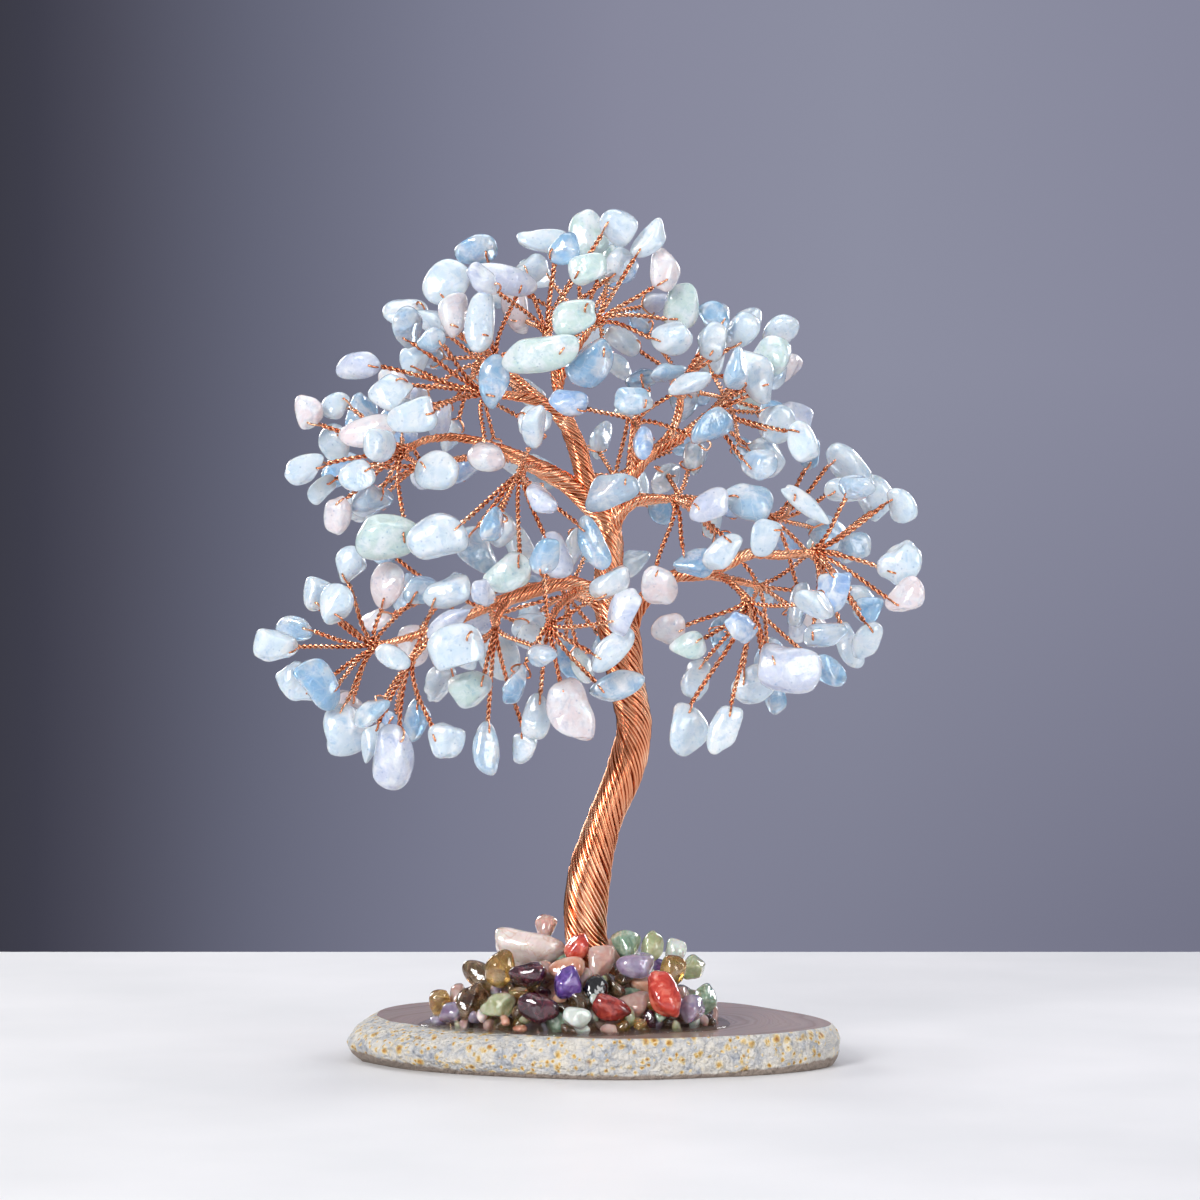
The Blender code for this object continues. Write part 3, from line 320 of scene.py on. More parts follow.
# Where each limb runs, as (x, y, height, radius). The first point lies inside the limb it leaves.
LIMBS = {
    "trunk": [
        (-0.6, 0.0, 0.0, 4.6), (-1.4, 0.0, 10.0, 4.3), (-2.9, 0.0, 17.0, 4.3), (-2.2, 0.0, 27.6, 4.4),
        (0.6, 0.0, 38.2, 3.6), (5.0, 0.0, 49.0, 3.8), (6.8, 0.0, 58.0, 3.6), (5.2, 0.0, 67.0, 3.7),
        (4.0, 0.0, 76.0, 4.2), (2.4, 0.0, 83.0, 3.8), (1.8, 0.0, 89.0, 3.0), (2.1, 0.0, 94.4, 2.6),
        (1.2, 0.0, 99.8, 2.8),
    ],
    "crown_bough": [
        (1.2, 0.0, 98.0, 2.4), (-2.0, 0.0, 104.8, 2.2), (-3.8, 0.0, 110.4, 2.0), (-5.2, 1.0, 115.8, 2.0),
        (-7.4, 1.0, 119.6, 1.7),
    ],
    "upper_left": [
        (-6.6, 1.0, 118.4, 1.5), (-10.2, 0.0, 121.6, 1.3), (-16.0, -1.0, 123.7, 1.1),
        (-23.6, -2.0, 124.4, 0.9),
    ],
    "top_left": [(-10.2, 0.0, 121.6, 1.2), (-14.5, 2.5, 125.6, 1.0), (-21.4, 4.0, 131.8, 0.8)],
    "top": [
        (-7.2, 1.0, 119.0, 1.4), (-8.4, 0.0, 125.8, 1.2), (-9.6, -1.0, 131.8, 1.0),
        (-10.8, -2.0, 137.0, 0.9),
    ],
    "top_right": [(-8.4, 0.0, 125.8, 1.1), (-4.8, -2.0, 133.0, 0.9), (-0.2, -4.0, 139.2, 0.8)],
    "top_back": [(-8.4, 0.0, 125.8, 1.1), (-6.5, 9.0, 131.5, 0.9), (-4.0, 20.0, 139.0, 0.8)],
    "upper_left_back": [(-10.2, 0.0, 121.6, 1.1), (-16.5, 11.0, 126.0, 0.9), (-25.0, 22.0, 132.5, 0.8)],
    "left_bough": [
        (1.0, 0.0, 98.6, 2.3), (-4.8, -1.0, 105.0, 2.1), (-9.2, -3.0, 107.8, 2.0),
        (-15.4, -5.0, 111.0, 1.6), (-20.0, -6.0, 113.2, 1.2),
    ],
    "centre_left": [(-11.5, -4.0, 109.2, 1.3), (-14.0, -8.0, 109.6, 1.1), (-15.8, -12.0, 108.4, 0.9)],
    "left": [
        (-18.6, -5.8, 112.6, 1.2), (-26.0, -6.0, 115.0, 1.0), (-33.0, -6.0, 115.2, 0.9),
        (-39.2, -6.0, 112.8, 0.8),
    ],
    "left_back": [(-15.4, -5.0, 111.0, 1.1), (-25.0, 9.0, 112.0, 0.9), (-37.0, 22.0, 111.0, 0.8)],
    "right_bough": [
        (1.6, 0.0, 97.5, 2.0), (4.8, -1.0, 105.2, 1.6), (7.6, -2.0, 109.8, 1.4), (12.0, -1.0, 113.8, 1.2),
    ],
    "centre": [(7.0, -1.8, 108.8, 1.0), (6.9, -5.0, 113.6, 0.9), (6.8, -9.0, 118.8, 0.8)],
    "right_top": [(10.5, -1.5, 112.4, 1.1), (15.2, 2.0, 118.4, 1.0), (16.4, 6.0, 127.2, 0.8)],
    "right_upper": [(10.5, -1.5, 112.4, 1.1), (16.6, -4.0, 115.6, 0.9), (20.8, -6.0, 119.8, 0.8)],
    "right_back": [(10.5, -1.5, 112.4, 1.1), (17.5, 11.0, 117.5, 0.9), (26.0, 22.0, 124.5, 0.8)],
    "right_inner": [
        (1.8, 0.0, 97.0, 1.4), (6.2, -2.5, 102.2, 1.1), (11.0, -5.0, 103.4, 0.9), (15.4, -7.0, 103.0, 0.8),
    ],
    "right_mid": [
        (6.2, -2.5, 102.2, 1.0), (17.0, 3.0, 103.6, 0.9), (28.0, 7.0, 102.0, 0.9), (35.6, 8.0, 99.2, 0.8),
    ],
    "mid_back": [
        (1.8, 0.0, 89.0, 1.9), (2.4, 9.0, 97.0, 1.4), (3.0, 19.0, 104.0, 1.1), (3.0, 29.0, 109.0, 0.9),
    ],
    "right_outer": [
        (3.8, 0.0, 77.0, 2.4), (9.2, -1.0, 83.4, 1.7), (14.5, -2.0, 87.8, 1.5), (22.6, -3.0, 88.6, 1.4),
        (28.2, -3.0, 92.2, 1.3), (35.0, -3.5, 92.0, 1.1), (42.8, -4.0, 92.6, 0.9),
    ],
    "low_right": [(22.6, -3.0, 88.6, 1.1), (26.0, -8.0, 86.4, 0.9), (29.6, -13.0, 82.6, 0.8)],
    "low_right_back": [(14.5, -2.0, 87.8, 1.2), (23.0, 11.0, 88.0, 1.0), (33.0, 23.0, 86.0, 0.8)],
    "low_left_bough": [
        (2.4, 0.0, 80.5, 2.4), (-4.0, -1.5, 86.2, 1.7), (-11.0, -3.0, 85.6, 1.5), (-18.4, -4.0, 83.2, 1.5),
        (-23.0, -5.0, 81.6, 1.2),
    ],
    "low_left_outer": [
        (-21.5, -4.8, 82.0, 1.2), (-29.5, -5.0, 78.6, 1.0), (-37.5, -4.5, 75.8, 0.9),
        (-45.4, -4.0, 73.8, 0.8),
    ],
    "low_left_inner": [(-29.5, -5.0, 78.6, 1.0), (-34.5, -9.0, 75.2, 0.9), (-37.4, -13.0, 70.6, 0.8)],
    "low_mid_left": [(-18.4, -4.0, 83.2, 1.1), (-20.0, -8.0, 80.6, 0.9), (-20.6, -12.0, 77.2, 0.8)],
    "low_centre": [(-3.0, -1.4, 85.6, 1.2), (-7.6, -8.0, 82.6, 0.9), (-10.2, -15.0, 78.0, 0.8)],
    "low_left_back": [(-11.0, -3.0, 85.6, 1.2), (-20.5, 10.0, 85.8, 1.0), (-31.0, 23.0, 84.6, 0.8)],
    "low_back": [
        (3.8, 0.0, 76.5, 1.9), (1.0, 9.0, 81.0, 1.3), (-4.0, 20.0, 83.6, 1.0), (-7.0, 31.0, 84.0, 0.8),
    ],
}


def on_slice(x, y, height):
    """A place on the tree, from millimetres above the foot."""
    return Vector((x * MM, y * MM, height * MM + STANDING))


print("limbs:", len(LIMBS))

# %% [markdown]
# ## How a bough leaves its trunk
#
# Wires don't start at a fork. They run up inside the thicker bundle and peel away from its side. So each
# bough's route is led back a little way down its parent, just under the surface on the side that it
# leaves from.

# %% Peel the boughs away from their parents
PEEL = 9.0 * MM  # how far down its parent a bough can be told apart
FINE_STEP = 0.9 * MM


def fine_route(name):
    """A limb's route as rows of x, y, z and radius in metres, close together."""
    rows = [(*on_slice(*p[:3]), p[3] * MM) for p in smoothed(LIMBS[name], 8)]
    return evenly(rows, FINE_STEP)


def parent_of(name):
    """The limb that this one leaves, and where along its route: the one whose middle runs nearest."""
    root = fine_route(name)[0, :3]
    best = None
    for other in LIMBS:
        if other == name:
            continue
        route = fine_route(other)
        gaps = np.linalg.norm(route[:, :3] - root, axis=1)
        place = int(gaps.argmin())
        if place > 2 and (best is None or gaps[place] - route[place, 3] < best[2]):
            best = (other, place, gaps[place] - route[place, 3])
    return best[:2]


def peeled_route(name):
    """A bough's route with its first stretch laid along its parent, under the surface."""
    own = fine_route(name)
    if name == "trunk":
        own[-4:, 3] *= (0.85, 0.7, 0.5, 0.35)
        return own
    parent, place = parent_of(name)
    trunk_rows = fine_route(parent)
    goal = own[min(len(own) - 1, 8), :3]
    led = []
    for back in (PEEL, PEEL / 2, 0.0):
        row = trunk_rows[max(0, place - int(back / FINE_STEP))]
        along = trunk_rows[min(len(trunk_rows) - 1, place + 1), :3] - trunk_rows[max(0, place - 1), :3]
        aside = goal - row[:3]
        aside = aside - along * np.dot(aside, along) / np.dot(along, along)
        aside /= np.linalg.norm(aside)
        share = 0.35 + 0.65 * (1 - back / PEEL)
        shift = max(0.0, row[3] - own[0, 3]) * share
        led.append((*(row[:3] + aside * shift), own[0, 3] * (0.9 + 0.1 * share)))
    keep = own[::6][1:]
    rows = smoothed([*led, *map(tuple, keep), tuple(own[-1])], 8)
    return evenly(rows, FINE_STEP)


routes = {name: peeled_route(name) for name in LIMBS}
print("longest bough:", max(len(r) for r in routes.values()) * FINE_STEP, "m")

# %% [markdown]
# ## Strands round a bundle
#
# Each strand keeps to the surface of its bundle and turns about it at the angle that twisting by hand
# gives, some 36 degrees to the bundle's run. Looked at from the front, the strands go from the upper left
# to the lower right. A little waviness and a few proud strands keep the bundle from looking machined.

# %% Lay the strands
LAY_ANGLE = math.radians(36)
STRAND_SIDES = 6
STRAND_SHARE = 1.45  # strands are drawn this much thicker than the wire, or they would blur together


def strands_round(route, seed, lay=LAY_ANGLE):
    """The outer strands of a bundle and its core, as shapes to join."""
    rng = random.Random(seed)
    points, radii = route[:, :3], route[:, 3]
    across, over = carried(points, np.array([1.0, 0.13, 0.0]))
    strand = WIRE * (STRAND_SHARE if radii.max() > 3 * MM else 0.5 + STRAND_SHARE / 2)
    middle = float(np.mean(radii)) - strand / 2
    count = max(4, round(math.tau * middle * math.cos(lay) / strand * 0.98))
    steps = np.linalg.norm(np.diff(points, axis=0), axis=1)
    lift = np.maximum(radii - strand / 2, 0.3 * strand)
    turning = np.concatenate([[0], np.cumsum(steps * math.tan(lay) / lift[:-1])])
    run = np.concatenate([[0], np.cumsum(steps)])
    shapes = []
    for i in range(count):
        start = math.tau * (i + rng.uniform(-0.16, 0.16)) / count
        wave = rng.uniform(0.02, 0.08) * np.sin(run / (rng.uniform(2.5, 6) * MM) + rng.uniform(0, math.tau))
        turn = start - turning + wave
        out = np.cos(turn)[:, None] * across + np.sin(turn)[:, None] * over
        proud = rng.uniform(-0.12, 0.06) * strand
        proud = proud + 0.1 * strand * np.sin(run / (7 * MM) + rng.uniform(0, math.tau))
        shapes.append(sweep(points + out * (lift + proud)[:, None], out, strand / 2 * 0.95, STRAND_SIDES))
    shapes.append(sweep(points, across, np.maximum(lift - 0.4 * strand, 0.2 * strand), 8))
    return shapes


trunk_shapes = []
for number, (name, route) in enumerate(routes.items()):
    trunk_shapes += strands_round(route, number)
trunk = piece("trunk_and_boughs", trunk_shapes, [copper], ["copper_trunk"])
print("strands:", len(trunk_shapes), "faces:", len(trunk.data.polygons))

# %% [markdown]
# ## Where the chips hang
#
# Each bough ends in a spray of twigs, and each twig ends in a chip. The chips that show from the front are
# placed one by one: how far across, how high, how far before or behind the bough's end, how long and wide,
# and how much the chip leans. The rest are tried at places round the bough's end until they hang clear of
# everything. Both steps repeat what the solids were made with, so every chip fills its solid.

# %% Chips placed one by one
CHIP_LENGTH = 8.4 * MM
CHIP_WIDTH = 6.0 * MM
CHIP_FLATNESS = 0.64  # thickness over width
HOLE_SHARE = 0.28  # of the length, from the middle to the drilled hole
TWIG_RADIUS = 0.95 * WIRE
TWIG_REACH = (15 * MM, 21 * MM)
TWIGS_PART = 3.5 * MM
FOLD_LIMIT = -0.62
AIR_GAP = 0.45 * MM
DEPTH_STEP = 1.5 * MM
DEPTH_TRIES = 24
TRIES = 60
SEED = 5

# How many chips each spray has besides those placed one by one. A spray hangs at the end of its limb.
CHIP_COUNTS = {
    "top": 2, "top_left": 4, "top_right": 2, "top_back": 8, "upper_left": 2, "upper_left_back": 8,
    "left": 2, "left_back": 8, "centre_left": 3, "centre": 4, "right_top": 6, "right_upper": 3,
    "right_back": 8, "right_inner": 4, "right_mid": 4, "right_outer": 1, "mid_back": 8, "low_left_outer": 3,
    "low_left_inner": 3, "low_left_back": 8, "low_mid_left": 3, "low_centre": 2, "low_back": 8,
    "low_right": 2, "low_right_back": 8,
}

# Chips placed one by one, as they show from the front: (x, height, depth from the knot, length, width, lean)
PLACED_CHIPS = {
    "top": [
        (-11.3, 154.8, 0, 10.0, 4.8, -8), (-13.6, 149.6, 4, 6.4, 5.4, 10), (-7.2, 152.2, -6, 6.4, 6.2, 20),
        (-2.4, 156.1, -3, 10.2, 7.8, 100), (3.5, 157.0, 4, 7.0, 6.4, -30), (-2.4, 148.3, -9, 7.4, 5.6, 20),
        (3.7, 150.0, 2, 6.6, 5.4, 60),
    ],
    "top_left": [
        (-24.9, 153.7, 0, 8.2, 6.0, 0), (-30.6, 146.4, -4, 9.4, 8.0, 60),
        (-19.3, 147.0, -8, 13.4, 5.2, -15), (-23.6, 138.3, -14, 12.6, 5.6, 85),
        (-29.3, 139.6, -8, 9.2, 5.4, 85),
    ],
    "top_right": [
        (9.8, 154.4, 0, 8.6, 4.8, 40), (13.0, 148.8, -2, 8.6, 6.4, 80), (16.3, 141.8, 2, 9.2, 6.8, 80),
        (14.1, 134.8, -4, 7.6, 6.4, 20), (-11.5, 130.9, -14, 15.0, 6.6, 5),
        (-1.5, 129.2, -10, 10.0, 7.0, 45), (-5.0, 138.4, -12, 8.8, 6.4, 20),
    ],
    "upper_left": [
        (-38.8, 137.9, 2, 7.6, 6.8, 60), (-33.2, 134.4, -4, 5.4, 5.2, 0), (-37.5, 131.8, 2, 7.0, 5.6, 80),
        (-48.1, 129.7, 0, 8.8, 5.2, 10), (-41.0, 124.0, -6, 7.4, 6.8, 50),
        (-36.8, 119.2, -12, 9.2, 6.4, 10), (-20.8, 126.0, -12, 10.2, 5.8, 90),
        (-21.0, 115.8, -16, 14.4, 6.8, 50), (-12.8, 118.4, -8, 6.6, 5.6, 0),
    ],
    "left": [
        (-57.6, 120.3, 0, 6.6, 5.4, 90), (-52.5, 121.8, 4, 6.0, 5.0, 30), (-45.7, 116.4, -8, 10.8, 6.4, 0),
        (-53.0, 114.5, 2, 6.8, 6.6, 60), (-58.3, 108.9, -2, 8.0, 5.2, 20), (-55.6, 105.3, 0, 6.6, 3.6, 45),
        (-52.0, 99.9, 0, 7.4, 5.2, 85), (-47.9, 107.4, -6, 6.6, 5.6, 30), (-45.7, 102.4, -4, 7.6, 7.2, 45),
        (-41.3, 95.1, -12, 12.0, 8.4, 0), (-31.9, 108.4, -10, 8.2, 7.4, 0),
    ],
    "centre_left": [
        (-31.6, 95.6, -6, 11.2, 8.0, 12), (-24.4, 92.7, -2, 10.0, 6.8, -60),
        (-18.1, 88.3, -6, 9.4, 7.0, 20), (-8.9, 91.7, -4, 9.0, 6.0, -60), (-1.6, 94.1, -6, 10.6, 4.8, -62),
        (-20.0, 97.8, 4, 7.6, 6.0, -60),
    ],
    "low_left_outer": [
        (-56.4, 84.0, 0, 6.2, 5.8, 70), (-52.0, 82.2, -6, 7.8, 6.2, 80), (-61.0, 77.4, 0, 7.2, 4.8, 0),
        (-55.2, 66.8, -8, 10.6, 7.0, -45), (-59.8, 66.3, 2, 8.8, 6.8, -50),
        (-50.4, 57.6, -4, 10.0, 8.6, -70), (-50.0, 90.2, 2, 7.2, 6.0, 60), (-42.0, 85.9, -6, 8.8, 6.4, 80),
    ],
    "low_left_inner": [
        (-39.7, 52.5, -6, 12.4, 7.6, 85), (-44.8, 55.1, 2, 8.0, 4.2, 80), (-30.0, 55.6, -2, 6.8, 6.6, 0),
        (-36.4, 59.2, 6, 8.0, 5.0, 70), (-29.7, 84.4, -4, 9.2, 5.6, 25), (-29.2, 78.6, -8, 9.6, 4.4, 32),
    ],
    "low_mid_left": [
        (-27.8, 74.2, -10, 10.0, 8.0, 20), (-20.0, 71.8, -8, 9.4, 8.0, -60),
        (-22.3, 54.0, -2, 10.0, 5.2, 88), (-15.2, 54.0, 0, 6.4, 5.6, 70), (-25.0, 65.8, -2, 8.0, 6.6, 20),
    ],
    "low_centre": [
        (-12.4, 60.2, 4, 8.4, 5.4, 80), (-5.8, 61.2, -4, 12.0, 8.2, -65), (2.4, 73.4, -4, 10.2, 5.2, 38),
        (3.4, 66.3, 2, 10.4, 5.4, 25), (2.4, 86.2, 0, 8.4, 5.6, 42), (4.4, 81.1, -6, 9.0, 5.8, 60),
        (-13.6, 75.8, 6, 6.0, 5.0, 0),
    ],
    "centre": [
        (6.7, 122.0, -6, 7.4, 5.0, 0), (-6.3, 121.4, -4, 7.4, 5.2, -10), (3.2, 113.2, 12, 8.8, 6.4, 80),
        (2.2, 104.5, -6, 10.6, 6.6, 12),
    ],
    "right_upper": [
        (30.8, 127.6, -4, 11.4, 6.8, -60), (34.2, 131.4, 4, 8.4, 7.6, 70), (35.1, 117.9, 0, 7.4, 7.2, 30),
        (39.5, 114.0, 0, 8.0, 5.6, -60), (31.4, 109.8, -6, 6.8, 6.0, 30),
    ],
    "right_top": [
        (23.0, 140.2, -2, 7.0, 6.2, -30), (28.8, 137.3, 0, 7.6, 6.0, 70), (22.5, 134.8, -8, 7.4, 4.8, 80),
    ],
    "right_inner": [
        (21.3, 101.4, -10, 8.4, 5.6, 32), (29.3, 102.4, -6, 9.2, 7.8, 0), (11.4, 85.9, -8, 8.2, 6.8, -65),
        (18.6, 90.7, -6, 7.4, 5.4, -10), (24.0, 92.6, -2, 8.4, 5.0, 50),
    ],
    "right_mid": [
        (40.7, 101.9, -18, 11.0, 3.6, -38), (32.2, 95.6, -16, 7.4, 6.4, 40), (42.6, 112.6, 0, 6.2, 3.6, 80),
        (49.7, 110.1, 0, 10.2, 6.2, -40), (49.0, 105.0, -8, 8.2, 4.8, 0),
    ],
    "right_outer": [
        (55.5, 104.3, 4, 9.0, 6.8, -60), (59.8, 101.9, 0, 7.2, 5.6, -50), (60.3, 90.7, 0, 8.4, 7.6, 60),
        (60.7, 83.6, -4, 8.0, 6.2, 50), (51.1, 93.6, 8, 7.0, 6.4, 60), (44.2, 76.0, -10, 8.4, 5.0, 0),
        (45.5, 85.2, -10, 8.0, 6.4, 70), (52.9, 75.2, -4, 7.6, 5.6, 70), (49.8, 74.0, 4, 9.4, 4.4, -70),
        (54.2, 81.0, 4, 6.0, 5.2, 0),
    ],
    "low_right": [
        (36.8, 69.6, -6, 11.8, 8.6, -10), (30.4, 66.6, 2, 9.0, 7.6, 0), (45.1, 69.0, 2, 7.6, 5.0, -35),
        (34.7, 63.4, 6, 5.4, 4.6, -50), (29.5, 60.0, 0, 5.6, 4.6, -60), (24.0, 57.8, 2, 9.8, 5.4, 68),
        (17.1, 57.8, -2, 10.0, 8.2, 100), (19.1, 67.4, 2, 8.0, 5.4, 75), (17.1, 73.9, -6, 6.6, 5.2, 20),
        (13.4, 77.4, 2, 6.2, 6.0, 0),
    ],
}

# The tint of each of them: w blue-white, b blue, g greenish, l lilac, p pinkish, y grey-blue, k cornflower,
# c nearly clear
CHIP_TINTS = {
    "top": "wwbgwgw",
    "top_left": "bwlwp",
    "top_right": "wpgwgbg",
    "upper_left": "cywlwwbwp",
    "left": "pwpwwwpwcgw",
    "centre_left": "wyglbw",
    "low_left_outer": "wwbbwwwp",
    "low_left_inner": "lwwbwl",
    "low_mid_left": "wwcwg",
    "low_centre": "wpwywlw",
    "centre": "ykcw",
    "right_upper": "wgwwc",
    "right_top": "bww",
    "right_inner": "lypbw",
    "right_mid": "wwbww",
    "right_outer": "wwwpyckwwb",
    "low_right": "lwbbwwwgpk",
}

# %% Find a clear place for each chip
Chip = namedtuple("Chip", "hole middle along side length width")
Bar = namedtuple("Bar", "start end radius owner")


def limb_path(name):
    """(place, radius) along a limb, stopped short of the knot where it carries a spray."""
    points = LIMBS[name]
    spans = len(points) - 1
    length = sum((on_slice(*b[:3]) - on_slice(*a[:3])).length for a, b in zip(points, points[1:]))
    steps = max(1, round(length / LIMB_STEP / spans))
    path = [(on_slice(*p[:3]), p[3] * MM) for p in smoothed(points, steps)]
    if name in CHIP_COUNTS:
        (before, _), (tip, radius) = path[-2:]
        back = (before - tip).normalized()
        path[-1] = (tip + back * (KNOT_RADIUS + SEAT_GAP), radius)
    return path


def knot_of(spray):
    """The middle of a spray's knot, and the direction in which its bough arrives."""
    points = LIMBS[spray]
    tip = on_slice(*points[-1][:3])
    return tip, (tip - on_slice(*points[-2][:3])).normalized()


def points_along(start, end):
    """Places along a bar, close enough together to measure from."""
    return [start.lerp(end, i / 4) for i in range(5)]


def off_bar(point, bar):
    """How far a point is from a bar's middle line."""
    run = bar.end - bar.start
    share = (point - bar.start).dot(run) / run.length_squared if run.length_squared else 0.0
    return (point - bar.start - run * min(1.0, max(0.0, share))).length


def apart(a, b):
    """How far apart the middle lines of two bars run."""
    crossing = intersect_line_line(a.start, a.end, b.start, b.end)
    if crossing and off_bar(crossing[0], a) < 0.01 * MM and off_bar(crossing[1], b) < 0.01 * MM:
        return (crossing[0] - crossing[1]).length
    return min(off_bar(a.start, b), off_bar(a.end, b), off_bar(b.start, a), off_bar(b.end, a))


def is_clear(bars, others):
    """Whether none of these bars comes nearer than the air gap to any of the others."""
    for bar in bars:
        for other in others:
            reach = bar.radius + other.radius + AIR_GAP
            far = reach + ((bar.end - bar.start).length + (other.end - other.start).length) / 2
            if ((bar.start + bar.end) / 2 - (other.start + other.end) / 2).length > far:
                continue
            if apart(bar, other) < reach:
                return False
    return True


def bars_of(chip, knot, owner):
    """The chip as a bar of its own width, and its twig from just outside the knot."""
    half = max(0.0, (chip.length - chip.width) / 2)
    twig = chip.hole - knot
    start = knot + twig.normalized() * min(twig.length, TWIGS_PART)
    return [
        Bar(chip.middle - chip.along * half, chip.middle + chip.along * half, chip.width / 2, owner),
        Bar(start, chip.hole, TWIG_RADIUS, owner),
    ]


def hung(middle, along, side, length, width, knot):
    """A chip turned so that its drilled end is the one nearer its knot."""
    if along.dot(middle - knot) < 0:
        along = -along
    side = (side - along * side.dot(along)).normalized()
    return Chip(middle - along * length * HOLE_SHARE, middle, along, side, length, width)


def leaves_room(chip, knot, bough):
    """Whether the chip's twig turns clear of the bough it comes from, and the chip stays off the knot."""
    twig = chip.hole - knot
    return twig.length > chip.width / 2 + 2 * KNOT_RADIUS and twig.normalized().dot(bough) > FOLD_LIMIT


def placed_chips(spray, others, rng):
    """The chips placed one by one: each keeps its place seen from the front, at the nearest clear depth."""
    knot, bough = knot_of(spray)
    chips = []
    for x, height, depth, length, width, lean in PLACED_CHIPS.get(spray, []):
        turn = math.radians(lean)
        along = Vector((math.cos(turn), rng.uniform(-0.25, 0.25), math.sin(turn))).normalized()
        side = Vector((rng.uniform(-0.5, 0.5), -1, rng.uniform(-0.5, 0.5))).cross(along)
        for step in range(DEPTH_TRIES):
            away = (step + 1) // 2 * (1 if step % 2 else -1)
            middle = on_slice(x, knot.y / MM + depth, height) + Vector((0, away * DEPTH_STEP, 0))
            chip = hung(middle, along, side, length * MM, width * MM, knot)
            bars = bars_of(chip, knot, spray)
            if leaves_room(chip, knot, bough) and is_clear(bars, others):
                others.extend(bars)
                chips.append(chip)
                break
    return chips


def filled_chips(spray, others, rng):
    """Further chips, each tried at places round the knot until it hangs clear of all the rest."""
    knot, bough = knot_of(spray)
    chips = []
    for _ in range(CHIP_COUNTS[spray]):
        for _ in range(TRIES):
            way = Vector([rng.gauss(0, 1) for _ in range(3)]).normalized() + bough * 0.7
            way.normalize()
            size = rng.uniform(0.8, 1.2)
            along = (way + Vector([rng.gauss(0, 0.35) for _ in range(3)])).normalized()
            side = Vector([rng.gauss(0, 1) for _ in range(3)]).cross(along)
            middle = knot + way * rng.uniform(*TWIG_REACH)
            width = CHIP_WIDTH * size * rng.uniform(0.9, 1.12)
            chip = hung(middle, along, side, CHIP_LENGTH * size, width, knot)
            bars = bars_of(chip, knot, spray)
            if leaves_room(chip, knot, bough) and is_clear(bars, others):
                others.extend(bars)
                chips.append(chip)
                break
    return chips


def hang_chips():
    """Every spray's chips, none of which touches another spray or a bough."""
    rng = random.Random(SEED)
    others = []
    for name in LIMBS:
        path = limb_path(name)
        others += [Bar(a, b, max(ra, rb), name) for (a, ra), (b, rb) in zip(path, path[1:])]
    others += [Bar(knot_of(s)[0], knot_of(s)[0], KNOT_RADIUS, s) for s in CHIP_COUNTS]
    chips = {spray: placed_chips(spray, others, rng) for spray in CHIP_COUNTS}
    for spray in CHIP_COUNTS:
        chips[spray] += filled_chips(spray, others, rng)
    return chips


sprays = hang_chips()
print("chips:", sum(len(chips) for chips in sprays.values()), "on", len(sprays), "sprays")

# %% [markdown]
# ## Twigs
#
# A twig is one wire, threaded through the chip, folded back and twisted with itself. So two strands turn
# round each other from the bough to the edge of the chip. There they part, run over both faces of the chip
# to the mouths of its hole, and meet inside it. The twigs of a spray leave the bough's end side by side
# and then fan out in easy curves.

# %% Twist the twigs
TWIST_PITCH = 2.6 * MM
TWIG_STEP = 0.36 * MM
TWIG_STRAND = 1.14 * WIRE  # drawn a little thicker than the wire, so that the twist shows
THREAD_GAP = 0.35 * MM  # from the chip's face to the middle of the wire that lies on it


def chip_axes(chip):
    """The chip's directions along, across and through it, as numpy rows."""
    across = chip.side.normalized()
    return np.array([chip.along, across, chip.along.cross(across)])


def twig_end(chip, knot):
    """Where the twist ends: just outside the chip, on the line from its hole to the knot."""
    axes = chip_axes(chip)
    half = np.array([chip.length, chip.width, chip.width * CHIP_FLATNESS]) / 2
    start = axes @ np.array(chip.hole - chip.middle) / half
    way = axes @ np.array((knot - chip.hole).normalized()) / half
    a, b, c = way @ way, start @ way, start @ start - 1
    return chip.hole + (knot - chip.hole).normalized() * ((math.sqrt(b * b - a * c) - b) / a + 0.5 * MM)


def curve_between(start, lead, arrive, end, step):
    """A cubic Bezier curve as rows."""
    count = max(6, int((Vector(end) - Vector(start)).length / step))
    t = np.linspace(0, 1, count)[:, None]
    a, b, c, d = (np.array(p) for p in (start, lead, arrive, end))
    return (1 - t) ** 3 * a + 3 * (1 - t) ** 2 * t * b + 3 * (1 - t) * t**2 * c + t**3 * d


